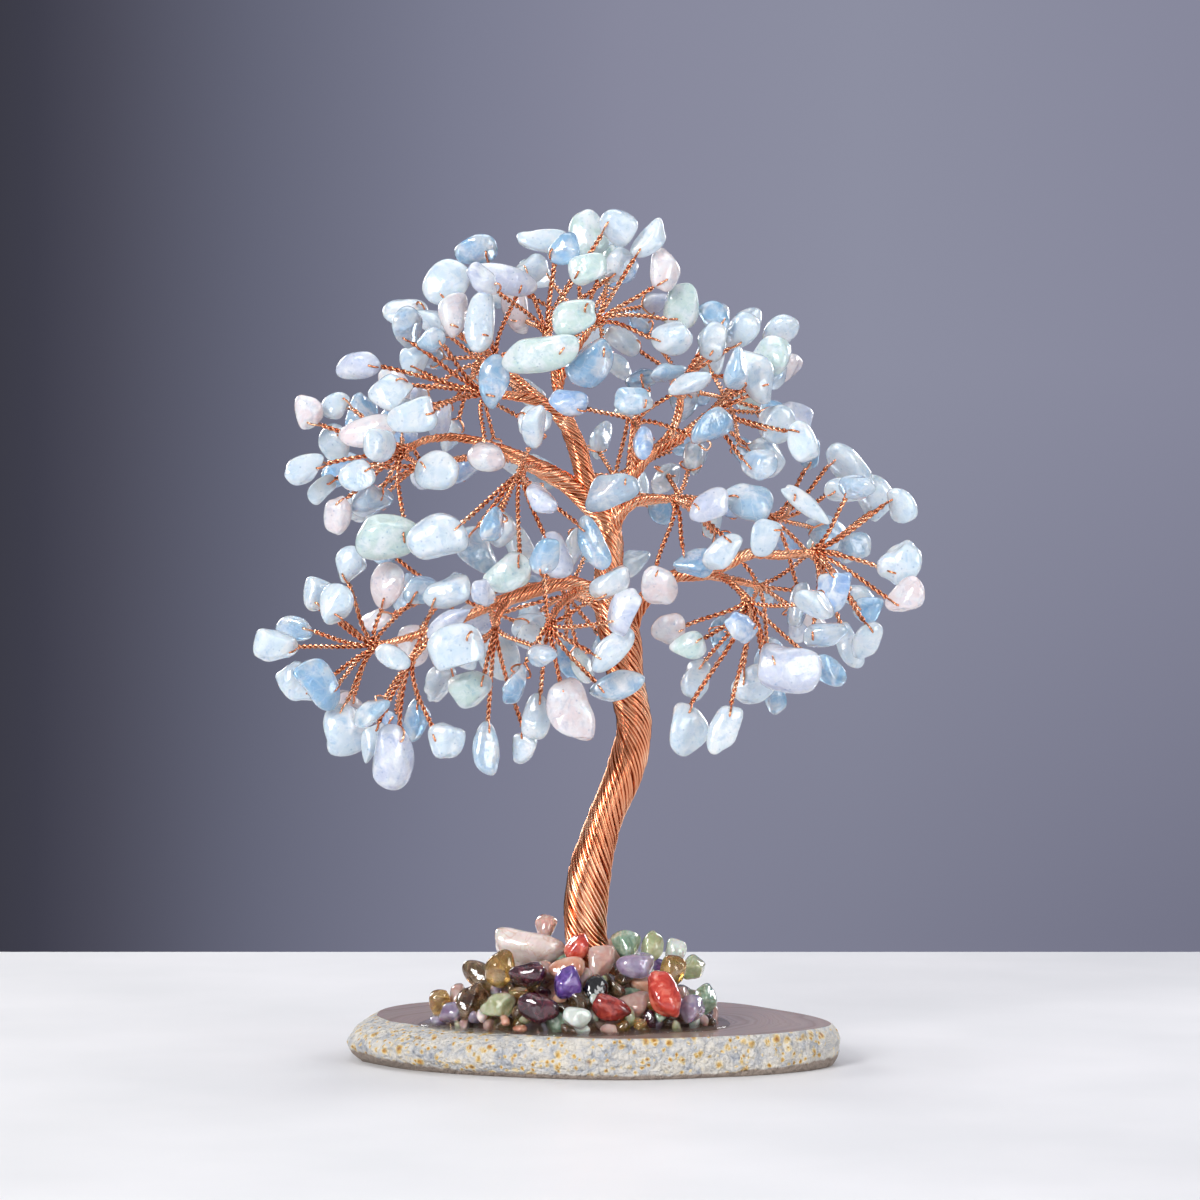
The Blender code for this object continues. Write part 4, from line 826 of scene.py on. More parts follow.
def twig_shapes(chip, knot, bough, rng):
    """Both strands of a twig, and the loop that holds the chip."""
    axes = chip_axes(chip)
    tip = twig_end(chip, knot)
    way = (tip - knot).normalized()
    reach = (tip - knot).length
    loose = Vector([rng.uniform(-1, 1) for _ in range(3)])
    bow = (loose - way * loose.dot(way)) * 0.7 * MM
    start = knot - bough * 2.6 * MM + (loose - bough * loose.dot(bough)) * 0.45 * MM
    lead = knot + bough * 0.16 * reach + way * 0.06 * reach
    middle = curve_between(start, lead, tip - way * 0.4 * reach + bow, tip, TWIG_STEP)
    across, over = carried(middle, axes[2] + 0.01 * axes[0])
    run = np.concatenate([[0], np.cumsum(np.linalg.norm(np.diff(middle, axis=0), axis=1))])
    final = across[-1] @ axes[2], over[-1] @ axes[2]
    pitch = TWIST_PITCH * rng.uniform(0.9, 1.12)
    turn = (run - run[-1]) * math.tau / pitch + math.atan2(final[1], final[0])
    out = np.cos(turn)[:, None] * across + np.sin(turn)[:, None] * over
    depth = 0.83 * chip.width * CHIP_FLATNESS / 2
    back = np.array(knot - chip.hole)
    back -= axes[2] * np.dot(back, axes[2])
    back /= np.linalg.norm(back)
    edge = (tip - chip.hole).length
    shapes = []
    for side in (1, -1):
        strand = middle + side * out * TWIG_STRAND / 2
        shapes.append(sweep(strand, side * out, TWIG_STRAND / 2))
        face = side * axes[2]
        loop = [
            strand[-2],
            strand[-1],
            np.array(chip.hole) + back * edge * 0.72 + face * (0.55 * depth + THREAD_GAP),
            np.array(chip.hole) + back * edge * 0.3 + face * (depth + THREAD_GAP),
            np.array(chip.hole) + face * (depth + 0.3 * THREAD_GAP),
            np.array(chip.hole) - back * 0.1 * MM + face * 0.4 * depth,
            np.array(chip.hole) - back * 0.1 * MM,
        ]
        thread = np.array(smoothed([tuple(p) for p in loop], 3))[3:]
        shapes.append(sweep(thread, np.tile(axes[0] * 0.2 + axes[1], (len(thread), 1)), WIRE / 2 * 0.94))
    return shapes


for spray, chips in sprays.items():
    knot, bough = knot_of(spray)
    rng = random.Random("twigs " + spray)
    shapes = []
    for chip in chips:
        shapes += twig_shapes(chip, knot, bough, rng)
    piece("twigs_" + spray, shapes, [copper], ["spray_" + spray])
print("twigs on", len(sprays), "sprays")

# %% [markdown]
# ## Aquamarine
#
# Tumbled aquamarine of this grade is milky: light goes in, spreads among fine inclusions and comes out
# pale and soft, while the polish on top stays sharp. Principled's subsurface does the spreading, some
# transmission lets a neighbour glow through, and a coat gives the polish. The stones differ: most are pale
# blue-white, some clear blue, greenish, lilac or faintly pink. Each chip's own tint is stored on its
# corners, and a noise of a few millimetres clouds it.

# %% Aquamarine
TINTS = {
    "w": "#d8e7f3",
    "b": "#a0cdee",
    "g": "#cfe3e0",
    "l": "#d2d9ed",
    "p": "#ebdfe2",
    "y": "#afcde4",
    "k": "#a3c3ea",
    "c": "#c2daee",
}


def tumbled_aquamarine(name, clearness, roughness, spread):
    """Tumbled and polished beryl: a sharp polish over a cloudy or a clear inside."""
    material, shader, place = start_material(
        name,
        Roughness=roughness,
        IOR=1.57,
        Transmission_Weight=clearness,
        Subsurface_Weight=spread,
        Subsurface_Scale=1.6 * MM,
        Subsurface_Radius=(0.8, 1.0, 1.2),
        Coat_Weight=1.0,
        Coat_Roughness=0.04,
    )
    tint = add(material, "Attribute", attribute_name="tint")
    clouds = noise_of(material, place, 4.0, Detail=5.0, Distortion=0.6)
    milk = mixed(material, ranged(material, clouds, 0.45, 0.68), tint, "#eff4f9")
    deep = mixed(material, 0.9, tint, "#b5d4ee", "MULTIPLY")
    wisps = noise_of(material, place, 2.2, Detail=6.0, Distortion=1.6)
    body = mixed(material, ranged(material, wisps, 0.52, 0.76, 0.6), milk, deep)
    bent = pushed(material, place, wisps, 1.6)
    cracks = cells_of(material, bent, 3.4, feature="DISTANCE_TO_EDGE")
    healed = mixed(material, ranged(material, cracks, 0.035, 0.0, 0.3), body, "#ffffff")
    specks = cells_of(material, place, 1.5)
    flecked = mixed(material, ranged(material, specks, 0.17, 0.1, 0.4), healed, "#7f9cc0")
    dents = noise_of(material, place, 2.0, Detail=3.0)
    bump = add(material, "Bump", Height=dents, Strength=0.55, Distance=0.5 * MM)
    set_up(material, shader, Base_Color=flecked, Normal=bump, Coat_Normal=bump)
    return material


milky = tumbled_aquamarine("tumbled_aquamarine_milky", 0.32, 0.24, 0.5)
clear = tumbled_aquamarine("tumbled_aquamarine_clear", 0.5, 0.08, 0.35)
print("made", milky.name, "and", clear.name)

# %% [markdown]
# ## Tumbled shapes
#
# Tumbling with grit rounds a broken splinter, but some of its flat breaks stay as soft facets. So a chip
# starts as a fine sphere, is pressed in by a few random planes with soft edges, tapers a little to one
# end, and is drawn out to the length, width and thickness of its solid.


# %% Tumble a stone
def ball(level):
    """Corners and triangles of a sphere of radius one, split from an icosahedron."""
    shape = bmesh.new()
    bmesh.ops.create_icosphere(shape, subdivisions=level, radius=1.0)
    corners = np.array([v.co for v in shape.verts])
    faces = [tuple(v.index for v in f.verts) for f in shape.faces]
    shape.free()
    return corners, faces


CHIP_BALL = ball(4)
CHIP_FILL = 1.07  # the solids are cut from fewer corners and so stand a little inside the real form


def tumbled(ball_corners, axes, middle, half, seed):
    """A tumbled stone's corners: the ball, faceted, tapered, dented and put in its place."""
    rng = np.random.default_rng(seed)
    power = rng.uniform(2.0, 2.5)
    corners = ball_corners / (np.abs(ball_corners) ** power).sum(axis=1, keepdims=True) ** (1 / power)
    for _ in range(rng.integers(5, 9)):
        facing = unit(rng.normal(size=3))
        over = corners @ facing - rng.uniform(0.62, 0.95)
        corners -= facing * ((over + np.sqrt(over**2 + 0.2**2)) / 2)[:, None]
    wave = rng.normal(size=(4, 3)) * 2.4
    for row in wave:
        corners *= 1 + 0.04 * np.sin(corners @ row + rng.uniform(0, math.tau))[:, None]
    taper = rng.uniform(-0.2, 0.2)
    corners[:, 1:] *= 1 + taper * corners[:, :1]
    corners[:, 1] += rng.uniform(-0.12, 0.12) * corners[:, 0] ** 2
    low, high = corners.min(axis=0), corners.max(axis=0)
    corners = (corners - (low + high) / 2) / ((high - low) / 2)
    return (corners * half) @ axes + middle


def held_in(corners):
    """The corners moved, where they stand out of the solid model's box, just as far as brings them in."""
    low, high = np.array(solid_box[0]), np.array(solid_box[1])
    return corners + np.maximum(low - corners.min(axis=0), 0) - np.maximum(corners.max(axis=0) - high, 0)


for number, (spray, chips) in enumerate(sprays.items()):
    rng = random.Random("tints " + spray)
    shapes, colours, kinds = [], [], []
    marks = CHIP_TINTS.get(spray, "")
    for i, chip in enumerate(chips):
        mark = marks[i] if i < len(marks) else rng.choice("wwwwwlgpbbykc")
        half = CHIP_FILL * np.array([chip.length, chip.width, chip.width * CHIP_FLATNESS]) / 2
        corners = tumbled(CHIP_BALL[0], chip_axes(chip), np.array(chip.middle), half, 1000 * number + i)
        shapes.append((held_in(corners), CHIP_BALL[1]))
        shade = np.array(linear(TINTS[mark])) * rng.uniform(0.94, 1.05)
        colours += [*shade[:3], 1.0] * len(corners)
        kinds += [1 if mark in "bc" else 0] * len(CHIP_BALL[1])
    chips_piece = piece("chips_" + spray, shapes, [milky, clear], ["spray_" + spray])
    layer = chips_piece.data.color_attributes.new("tint", "FLOAT_COLOR", "POINT")
    layer.data.foreach_set("color", colours)
    chips_piece.data.polygons.foreach_set("material_index", kinds)
print("chips shaped with", len(CHIP_BALL[1]), "faces each")

# %% [markdown]
# ## The agate slice
#
# The base is a slice sawn from an agate nodule. Its faces are ground and polished, so they show grey,
# slightly see-through bands that follow the outline. Its rim is the nodule's natural skin: chalky, lumpy,
# cracked with blue-grey lines and spotted with rings of rusty ochre. The outline is the solid's own. The
# rim gets real lumps in its mesh, because they show against the light table. They are left standing by
# cutting in round them, so nothing stands out of the solid's outline.

# %% Shape the slice
# Outline of the slice seen from above, with how far the polished face stands in from it
SLICE_OUTLINE = [
    (-51.3, 0.0, 9.0), (-43.0, -12.0, 10.0), (-33.0, -19.5, 9.0), (-18.0, -25.5, 5.0), (-3.0, -28.6, 2.0),
    (9.0, -28.8, 1.2), (21.0, -25.6, 1.0), (34.5, -20.5, 1.2), (44.5, -12.5, 2.0), (48.2, -4.0, 2.0),
    (45.0, 8.0, 1.2), (38.2, 20.0, 1.0), (27.0, 34.5, 1.2), (8.0, 38.5, 1.5), (-16.0, 39.0, 1.5),
    (-35.0, 37.0, 2.0), (-45.5, 27.0, 2.5), (-50.5, 13.0, 5.0),
]

SLICE_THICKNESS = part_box("agate_slice")[1][2]
FOOT_INSET = 1.2 * MM
WIDEST_SHARE = 0.45  # of the thickness, from the underside to where the rim stands out most
RIM_LUMPS = 0.8 * MM
LUMP_LEVEL = 0.75  # the rim is cut in wherever its noise stays below this
LUMP_SIZES = (2.2 * MM, 0.9 * MM)


def rim_profile(inset):
    """(height, how far inside the widest outline) up the rim, from the underside to the polished face."""
    foot = FOOT_INSET + 0.25 * inset
    steps = [(0.0, foot + 0.3 * MM), (0.04, foot), (0.12, 0.7 * foot), (0.22, 0.4 * foot)]
    steps += [(0.34, 0.12 * foot), (WIDEST_SHARE, 0.0), (0.56, 0.04 * inset), (0.66, 0.13 * inset)]
    steps += [(0.76, 0.27 * inset), (0.86, 0.48 * inset), (0.93, 0.7 * inset), (0.97, 0.88 * inset)]
    steps += [(1.0, inset + 0.25 * MM)]
    return steps


def rim_lump(corner):
    """How high the skin's noise stands at a place."""
    wide, narrow = (noise.noise(Vector(corner) / size) for size in LUMP_SIZES)
    return wide + 0.5 * narrow


def build_slice():
    """The slice as rings of corners, from the middle of its underside over the rim to that of its face."""
    outline = np.array(smoothed([*SLICE_OUTLINE, SLICE_OUTLINE[0]], 26)[:-1]) * MM
    count = len(outline)
    centre = outline[:, :2].mean(axis=0)
    inward = unit(centre - outline[:, :2])
    rings = []
    for share in (0.02, 0.5, 0.9):
        ring = outline[:, :2] + inward * (FOOT_INSET + 0.25 * outline[:, 2:] + 0.3 * MM)
        rings.append(np.column_stack([centre + (ring - centre) * share, np.zeros(count)]))
    first_rim = len(rings)
    for height, _ in rim_profile(0.0):
        insets = np.array([dict(rim_profile(i))[height] for i in outline[:, 2]])
        level = np.full(count, height * SLICE_THICKNESS)
        ring = np.column_stack([outline[:, :2] + inward * insets[:, None], level])
        lumpy = math.sin(math.pi * min(1.0, max(0.0, (height - 0.08) / 0.9)))
        for corner, way in zip(ring, inward):
            corner[:2] += way * max(0.0, LUMP_LEVEL - rim_lump(corner)) * RIM_LUMPS * lumpy
        rings.append(ring)
    last_rim = len(rings) - 1
    top = rings[-1][:, :2]
    for share in (0.96, 0.9, 0.8, 0.65, 0.45, 0.25, 0.02):
        rings.append(np.column_stack([centre + (top - centre) * share, np.full(count, SLICE_THICKNESS)]))
    faces, kinds = [], []
    for ring in range(len(rings) - 1):
        here, above = ring * count, (ring + 1) * count
        for i in range(count):
            j = (i + 1) % count
            faces.append((here + i, here + j, above + j, above + i))
            kinds.append(1 if first_rim <= ring < last_rim else 0)
    faces += [tuple(range(count))[::-1], tuple((len(rings) - 1) * count + i for i in range(count))]
    return np.concatenate(rings), faces, [*kinds, 0, 0]


slice_corners, slice_faces, slice_kinds = build_slice()
print("slice faces:", len(slice_faces), "thickness:", SLICE_THICKNESS)

# %% [markdown]
# Agate is chalcedony, a fine-grained quartz. Polished, it looks wet and a little deep, so it gets a low
# roughness and some subsurface. The bands are rings of noise laid along the distance from the middle. The
# skin is the same stone with a chalky crust, so it is rough, and its spots are cells with a rusty ring.


# %% Agate materials
def polished_agate():
    """Sawn and polished chalcedony: grey with faint mauve and brown bands, glossy and slightly deep."""
    material, shader, place = start_material(
        "polished_agate",
        Roughness=0.08,
        IOR=1.54,
        Specular_IOR_Level=0.22,
        Subsurface_Weight=0.2,
        Subsurface_Scale=2.0 * MM,
    )
    squashed = add(material, "Mapping", Vector=place, Scale=(0.72, 1.0, 0.4))
    away = add(material, "VectorMath", {0: squashed}, operation="LENGTH").outputs["Value"]
    wander = noise_of(material, place, 22.0, Detail=3.0)
    bent = worked_out(material, "MULTIPLY_ADD", wander, 9 * MM, away)
    fine = add(material, "TexNoise", noise_dimensions="1D", W=bent, Scale=per_metre(1.6), Detail=3.0)
    browns = (0.25, "#967e72"), (0.42, "#a28a7f"), (0.55, "#ac958b"), (0.68, "#9b867f"), (0.8, "#b8a499")
    set_up(material, shader, Base_Color=colour_steps(material, fine, *browns))
    return material


def agate_skin():
    """The nodule's natural skin: chalky and lumpy, with blue-grey cracks and rusty rings."""
    material, shader, place = start_material("agate_skin_rough", Roughness=0.72, IOR=1.5)
    mottle = noise_of(material, place, 2.6, Detail=6.0, Roughness=0.62)
    bent = pushed(material, place, mottle, 1.5)
    drift = noise_of(material, place, 8.0, Detail=2.0)
    chalks = (0.3, "#8a8e99"), (0.4, "#b9bbc0"), (0.5, "#d3cfca"), (0.72, "#e6decf")
    rusts = (0.0, "#9c5b2a"), (0.12, "#bb8438"), (0.22, "#d6b065"), (0.34, "#e8d7b2")
    skin = colour_steps(material, mottle, *chalks)
    for size, rarity in ((2.4, 0.97), (1.3, 1.0)):
        cells = cells_of(material, bent, size)
        chosen = add(material, "SeparateColor", Color=cells.outputs["Color"])
        pick = ranged(material, worked_out(material, "ADD", chosen, drift), rarity, rarity + 0.04)
        spot = worked_out(material, "MULTIPLY", ranged(material, cells, 0.46, 0.3), pick)
        skin = mixed(material, spot, skin, colour_steps(material, cells, *rusts))
    edges = cells_of(material, bent, 2.3, feature="DISTANCE_TO_EDGE")
    patchy = ranged(material, drift, 0.4, 0.62, 0.45)
    crack = worked_out(material, "MULTIPLY", ranged(material, edges, 0.1, 0.0), patchy)
    cracked = mixed(material, crack, skin, "#727886")
    outward = add(material, "VectorMath", {0: place}, operation="LENGTH").outputs["Value"]
    foot_band = ranged(material, outward, 34 * MM, 52 * MM, 3.4 * MM, 1.7 * MM)
    level = add(material, "SeparateXYZ", Vector=bent).outputs["Z"]
    above = worked_out(material, "SUBTRACT", level, foot_band)
    bare = mixed(material, ranged(material, above, 0.2 * MM, -0.2 * MM), cracked, "#9a8b80")
    grain = noise_of(material, place, 0.7, Detail=4.0)
    bubbles = cells_of(material, bent, 1.2, feature="SMOOTH_F1")
    rise = worked_out(material, "SUBTRACT", grain, bubbles)
    bump = add(material, "Bump", Height=rise, Strength=1.0, Distance=1.2 * MM)
    set_up(material, shader, Base_Color=bare, Normal=bump)
    return material


stone_looks = [polished_agate(), agate_skin()]
slab = piece("agate_slice_polished", [(slice_corners, slice_faces)], stone_looks, ["agate_slice"])
slab.data.polygons.foreach_set("material_index", slice_kinds)
slab.data.polygons.foreach_set("use_smooth", [kind == 1 for kind in slice_kinds])
print("made", slab.name)

# %% [markdown]
# ## The heap of tumbled stones
#
# The stones are a maker's mix: quartzes, agates and jaspers that went through the same tumbler. Every solid
# stone lends its place, its turn and its size, read from its corners, to a finer tumbled stone. The
# mineral is the solid's own material slot.

# %% Minerals
MINERALS = {
    "milky_quartz": (3.5, 0.25, "#dcc6bf", "#ebdcd6", "#f5ede8", "#cf9a7c"),
    "rose_quartz": (3.0, 0.55, "#dba99d", "#ebc6ba", "#f6ded6", None),
    "carnelian": (2.5, 0.2, "#a32018", "#cf4232", "#e7806a", None),
    "carnelian_pale": (3.0, 0.3, "#c98468", "#e0a98f", "#ecc9b4", None),
    "aventurine": (1.6, 0.2, "#6f8a73", "#93ab95", "#b5c6b2", None),
    "prehnite": (2.4, 0.5, "#b0b580", "#c9cea5", "#dfe2c4", None),
    "moonstone": (3.0, 0.3, "#c5d1c8", "#dde6de", "#eff4ee", None),
    "garnet": (2.0, 0.25, "#2a0e16", "#45182a", "#6b2b3a", None),
    "citrine": (2.6, 0.8, "#a87c30", "#d3a85a", "#efd49a", None),
    "smoky_quartz": (2.4, 0.8, "#5a3c28", "#96734f", "#d2b38a", None),
    "amethyst": (2.2, 0.35, "#46297e", "#7450ab", "#b298d6", None),
    "amethyst_pale": (2.4, 0.65, "#a893bb", "#c6b6d3", "#e2d8e8", None),
    "obsidian": (2.0, 0.0, "#08080a", "#121214", "#1f1f22", None),
    "red_jasper": (1.8, 0.0, "#5c120f", "#86211b", "#a84234", None),
}


def tumbled_mineral(name, cloud_mm, clearness, deep, mid, pale, vein):
    """A tumbled and polished mineral, wetted by the resin: clouds of three tones and, in some, a vein."""
    material, shader, place = start_material(
        "tumbled_" + name,
        Roughness=0.1,
        IOR=1.54,
        Transmission_Weight=clearness,
        Subsurface_Weight=0.35 if clearness else 0.0,
        Subsurface_Scale=1.5 * MM,
        Coat_Weight=1.0,
        Coat_Roughness=0.03,
    )
    clouds = noise_of(material, place, cloud_mm, Detail=5.0, Distortion=0.8)
    body = colour_steps(material, clouds, (0.34, deep), (0.5, mid), (0.66, pale))
    if vein:
        streaks = noise_of(material, place, 5.0, Detail=3.0, Distortion=2.0)
        off = worked_out(material, "ABSOLUTE", worked_out(material, "SUBTRACT", streaks, 0.5))
        body = mixed(material, ranged(material, off, 0.03, 0.0, 0.5), body, vein)
    dents = noise_of(material, place, 2.4, Detail=2.0)
    bump = add(material, "Bump", Height=dents, Strength=0.6, Distance=0.6 * MM)
    set_up(material, shader, Base_Color=body, Normal=bump, Coat_Normal=bump)
    return material


minerals = {name: tumbled_mineral(name, *facts) for name, facts in MINERALS.items()}
slots = {part["node"]: part["material_slot"] for part in frame["record"]["subparts"]}
print("minerals:", len(minerals))

# %% Stones in place of their solids
STONE_BALL = ball(4)


def lie_of(node):
    """A solid stone's middle, its own axes and its half sizes along them."""
    corners = np.array([v.co for v in frame["nodes"][node].data.vertices])
    middle = corners.mean(axis=0)
    axes = np.linalg.svd(corners - middle, full_matrices=False)[2]
    if np.linalg.det(axes) < 0:
        axes[2] *= -1
    reach = (corners - middle) @ axes.T
    middle = middle + ((reach.max(axis=0) + reach.min(axis=0)) / 2) @ axes
    return middle, axes, (reach.max(axis=0) - reach.min(axis=0)) / 2


lies = {}
for number, (node, slot_name) in enumerate(slots.items()):
    if slot_name in minerals:
        lies[node] = lie_of(node)
        middle, axes, half = lies[node]
        corners = tumbled(STONE_BALL[0], axes, middle, half * 1.04, 7000 + number)
        piece("stone_" + node, [(corners, STONE_BALL[1])], [minerals[slot_name]], [node])
print("stones:", len(lies))

# %% [markdown]
# ## Small stones and the resin
#
# Smaller splinters fill the gaps between the big stones. Then clear epoxy was poured over the heap. It
# wets everything, rounds the steps between the stones and spreads to a thin puddle with a soft edge. It is
# one clear solid. Its dome is the solid's own, a little lower, with dips and swells between the stones.

# %% Lay of the resin
RESIN_FILM = 0.6 * MM
RESIN_DOME = 13.0 * MM
RESIN_HALF_LENGTH = 33.5 * MM
RESIN_HALF_DEPTH = 24.0 * MM
RESIN_CENTRE = (-4.5 * MM, -1.0 * MM)
RESIN_SHRINK = 0.97  # cured resin sinks a little between the stones
RESIN_PROFILE = [(0.0, 1.0), (0.3, 0.84), (0.5, 0.58), (0.7, 0.26), (0.86, 0.0), (1.0, 0.0)]


def resin_height(share, place):
    """The resin's height over the slice at a share of the way from its middle to its edge."""
    dome = np.interp(share, *zip(*RESIN_PROFILE)) * RESIN_DOME * RESIN_SHRINK
    swell = noise.noise(Vector(place) / (5.0 * MM)) * 0.9 * MM * (1 - share)
    edge = math.sqrt(max(0.0, 1 - max(0.0, (share - 0.95) / 0.05) ** 2))
    return max(0.05 * MM, (RESIN_FILM + dome + swell) * edge)


def resin_point(turn, share):
    """A place on the resin's surface, seen from above, with a wandering edge."""
    wander = 1 - 0.07 * (1 + noise.noise(Vector((math.cos(turn), math.sin(turn), 0.3)) * 2.1))
    x = RESIN_CENTRE[0] + math.cos(turn) * share * wander * RESIN_HALF_LENGTH
    y = RESIN_CENTRE[1] + math.sin(turn) * share * wander * RESIN_HALF_DEPTH
    return x, y, SLICE_THICKNESS + 0.02 * MM + resin_height(share, (x, y, 0))


print("resin over", 2 * RESIN_HALF_LENGTH, "by", 2 * RESIN_HALF_DEPTH, "m")

# %% Small stones
SMALL_STONES = 260
SMALL_SIZES = (1.5 * MM, 3.3 * MM)
SMALL_BALL = ball(3)
SMALL_TRIES = 60  # for each stone
HEAP_RISE = 14.5 * MM
TRUNK_FOOT = 5.6 * MM

rng = random.Random(41)
SMALL_KINDS = ["smoky_quartz", "citrine", "smoky_quartz", "prehnite", "moonstone", "rose_quartz"]
SMALL_KINDS += ["carnelian_pale", "garnet", "milky_quartz", "amethyst_pale", "aventurine", "rose_quartz"]
SMALL_KINDS += ["citrine", "smoky_quartz"]
small = {name: [] for name in SMALL_KINDS}
taken = [(middle, float(np.mean(half))) for middle, _, half in lies.values()]
for _ in range(SMALL_STONES * SMALL_TRIES):
    if sum(len(group) for group in small.values()) >= SMALL_STONES:
        break
    turn, share = rng.uniform(0, math.tau), math.sqrt(rng.uniform(0, 0.8))
    x, y, _ = resin_point(turn, share)
    radius = rng.uniform(*SMALL_SIZES) * (1 - 0.3 * share)
    top = SLICE_THICKNESS + HEAP_RISE * max(0.0, 1 - share) ** 0.9 + 1.5 * MM
    middle = np.array([x, y, max(SLICE_THICKNESS + 0.6 * radius, top - rng.uniform(0.2, 5.0) * MM)])
    if math.hypot(x + 0.6 * MM, y) < TRUNK_FOOT + radius * 0.7:
        continue
    if all(np.linalg.norm(middle - there) > 0.82 * (radius * 0.85 + size) for there, size in taken):
        taken.append((middle, radius * 0.85))
        small[rng.choice(SMALL_KINDS)].append((middle, radius))
for name, group in small.items():
    shapes = []
    for i, (middle, radius) in enumerate(group):
        spin = rng.uniform(0, math.tau)
        pole = Vector((rng.gauss(0, 1), rng.gauss(0, 1), 1.0))
        half = radius * np.array([1.25, rng.uniform(0.8, 1.0), rng.uniform(0.6, 0.85)])
        corners = tumbled(SMALL_BALL[0], np.array(Matrix.Rotation(spin, 3, pole)), middle, half, 9000 + i)
        shapes.append((corners, SMALL_BALL[1]))
    if shapes:
        piece("small_stones_" + name, shapes, [minerals[name]])
print("small stones:", sum(len(group) for group in small.values()))


# %% Pour the resin
def clear_resin():
    """Cast epoxy: clear, very smooth, with the faintest warm cast."""
    material, shader, place = start_material(
        "clear_cast_epoxy", Roughness=0.02, IOR=1.5, Transmission_Weight=1.0, Alpha=0.42, Base_Color="#fbf8f2"
    )
    ripple = noise_of(material, place, 3.0, Detail=2.0)
    bump = add(material, "Bump", Height=ripple, Strength=0.25, Distance=0.3 * MM)
    set_up(material, shader, Normal=bump)
    return material


def pour_resin():
    """The resin as rings from its middle to its edge, and a flat underside."""
    count, shares = 160, [i / 60 for i in range(1, 61)]
    corners = [resin_point(0.0, 0.0)]
    for share in shares:
        corners += [resin_point(math.tau * i / count, share) for i in range(count)]
    faces = [(0, 1 + i, 1 + (i + 1) % count) for i in range(count)]
    for ring in range(len(shares) - 1):
        start = 1 + ring * count
        for i in range(count):
            j = (i + 1) % count
            faces.append((start + i, start + count + i, start + count + j, start + j))
    bottom = len(corners)
    corners += [(x, y, SLICE_THICKNESS + 0.02 * MM) for x, y, _ in corners[-count:]]
    for i in range(count):
        j = (i + 1) % count
        faces.append((bottom - count + i, bottom + i, bottom + j, bottom - count + j))
    faces.append(tuple(bottom + i for i in range(count))[::-1])
    return np.array(corners), faces


resin = piece("clear_resin_pour", [pour_resin()], [clear_resin()], ["clear_resin"])
print("resin faces:", len(resin.data.polygons))

# %% [markdown]
# ## The table, the wall and the light
#
# The tree stands on a white table in front of a plain grey-lavender wall. The wall glows, and its light
# and shade are painted: it is dark at the left, brightest above the middle and a little darker again low on
# the right. A large soft key light stands in front at the upper left and a weaker fill at the right, so the
# copper has broad highlights and the stones small ones. A soft light from the top and two from behind,
# left and right, lighten the chips' edges.

# %% Table and wall
TABLE_EDGE = 218 * MM


def stage_plane(name, corners, material):
    """A flat stage piece from its four corners."""
    mesh = bpy.data.meshes.new(name)
    mesh.from_pydata(corners, [], [(0, 1, 2, 3)])
    mesh.materials.append(material)
    obj = bpy.data.objects.new(name, mesh)
    bpy.context.scene.collection.objects.link(obj)
    return obj


def painted_table():
    """White satin paint."""
    material, shader, place = start_material("white_satin_paint", Roughness=0.45)
    mottle = noise_of(material, place, 60.0, Detail=3.0)
    set_up(material, shader, Base_Color=colour_steps(material, mottle, (0.3, "#dcdcde"), (0.7, "#e6e5e7")))
    return material


# The wall's colour with its painted light and shade, from its left to its right, as (share of the way,
# colour)
WALL_PAINTED_LIGHT_TONES = [(0.0, "#37373f"), (0.07, "#3f3f4c"), (0.12, "#4b4b59"), (0.24, "#646678")]
WALL_PAINTED_LIGHT_TONES += [(0.39, "#7b7d91"), (0.52, "#88899d"), (0.7, "#8d8fa2"), (0.95, "#88899d")]


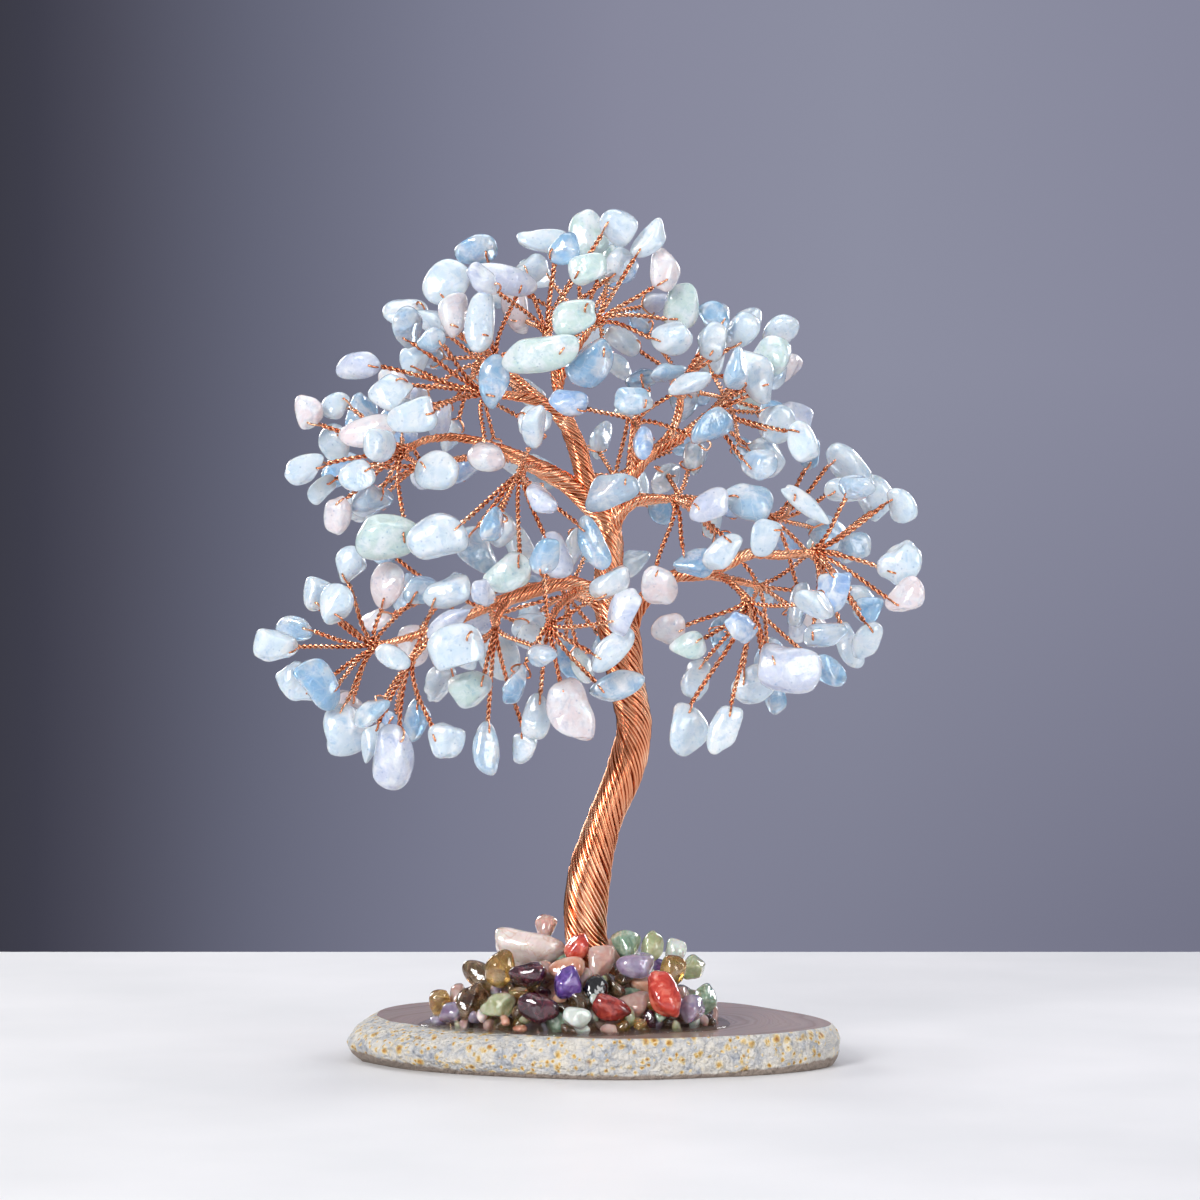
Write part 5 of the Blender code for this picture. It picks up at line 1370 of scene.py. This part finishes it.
def glowing_wall_with_painted_light():
    """Matt grey-lavender wall that glows with painted light and shade, the same whatever light falls on the
    tree.
    """
    # No colour of its own: the wall glows, and its glow is painted light and shade
    material, shader, place = start_material(
        "grey_lavender_wall_glowing_with_painted_light",
        Roughness=1.0,
        Base_Color="#000000",
        Specular_IOR_Level=0.0,
        Emission_Strength=1.0,
    )
    across, _, height = add(material, "SeparateXYZ", Vector=place).outputs
    # Painted light and shade from left to right: dark at the left, brightest above the middle
    tone = colour_steps(material, ranged(material, across, -0.3, 0.3), *WALL_PAINTED_LIGHT_TONES)
    # Painted shade low on the right: there the glow is mixed towards a darker grey
    low, right = ranged(material, height, 0.2, -0.06), ranged(material, across, -0.2, 0.3)
    painted_shade_share = worked_out(material, "MULTIPLY", low, right)
    set_up(material, shader, Emission_Color=mixed(material, painted_shade_share, tone, "#737487"))
    return material


TABLE_HALF, WALL_BACK = 1.5, 0.9
table_corners = [(-TABLE_HALF, -TABLE_HALF, 0), (TABLE_HALF, -TABLE_HALF, 0)]
table_corners += [(TABLE_HALF, TABLE_EDGE, 0), (-TABLE_HALF, TABLE_EDGE, 0)]
stage_plane("table", table_corners, painted_table())
wall_corners = [(x, WALL_BACK, z) for x, z in ((-2, -1), (2, -1), (2, 1.6), (-2, 1.6))]
stage_plane("wall", wall_corners, glowing_wall_with_painted_light())
print("table edge at", TABLE_EDGE)


# %% Lights
def soft_light(name, place, size, power):
    """A square area light that looks at the middle of the tree."""
    light = bpy.data.objects.new(name, bpy.data.lights.new(name, "AREA"))
    light.data.size = size
    light.data.energy = power
    light.location = place
    aim = Vector((0, 0, 0.08)) - Vector(place)
    light.rotation_euler = aim.to_track_quat("-Z", "Y").to_euler()
    bpy.context.scene.collection.objects.link(light)
    return light


soft_light("key_softbox", (-0.55, -0.85, 0.5), 0.4, 9.8)
soft_light("fill_softbox", (0.8, -0.7, 0.3), 0.5, 4.2)
soft_light("top_softbox", (0.0, 0.1, 0.9), 0.6, 2.6)
soft_light("back_left_softbox", (-0.55, 0.6, 0.45), 0.3, 3.2)
soft_light("back_right_softbox", (0.6, 0.6, 0.4), 0.3, 2.6)
world = bpy.data.worlds.new("soft_room")
bpy.context.scene.world = world
world.use_nodes = True
world.node_tree.nodes["Background"].inputs["Color"].default_value = linear("#eaecf1")
world.node_tree.nodes["Background"].inputs["Strength"].default_value = 0.44
bpy.context.scene.view_settings.view_transform = "Standard"
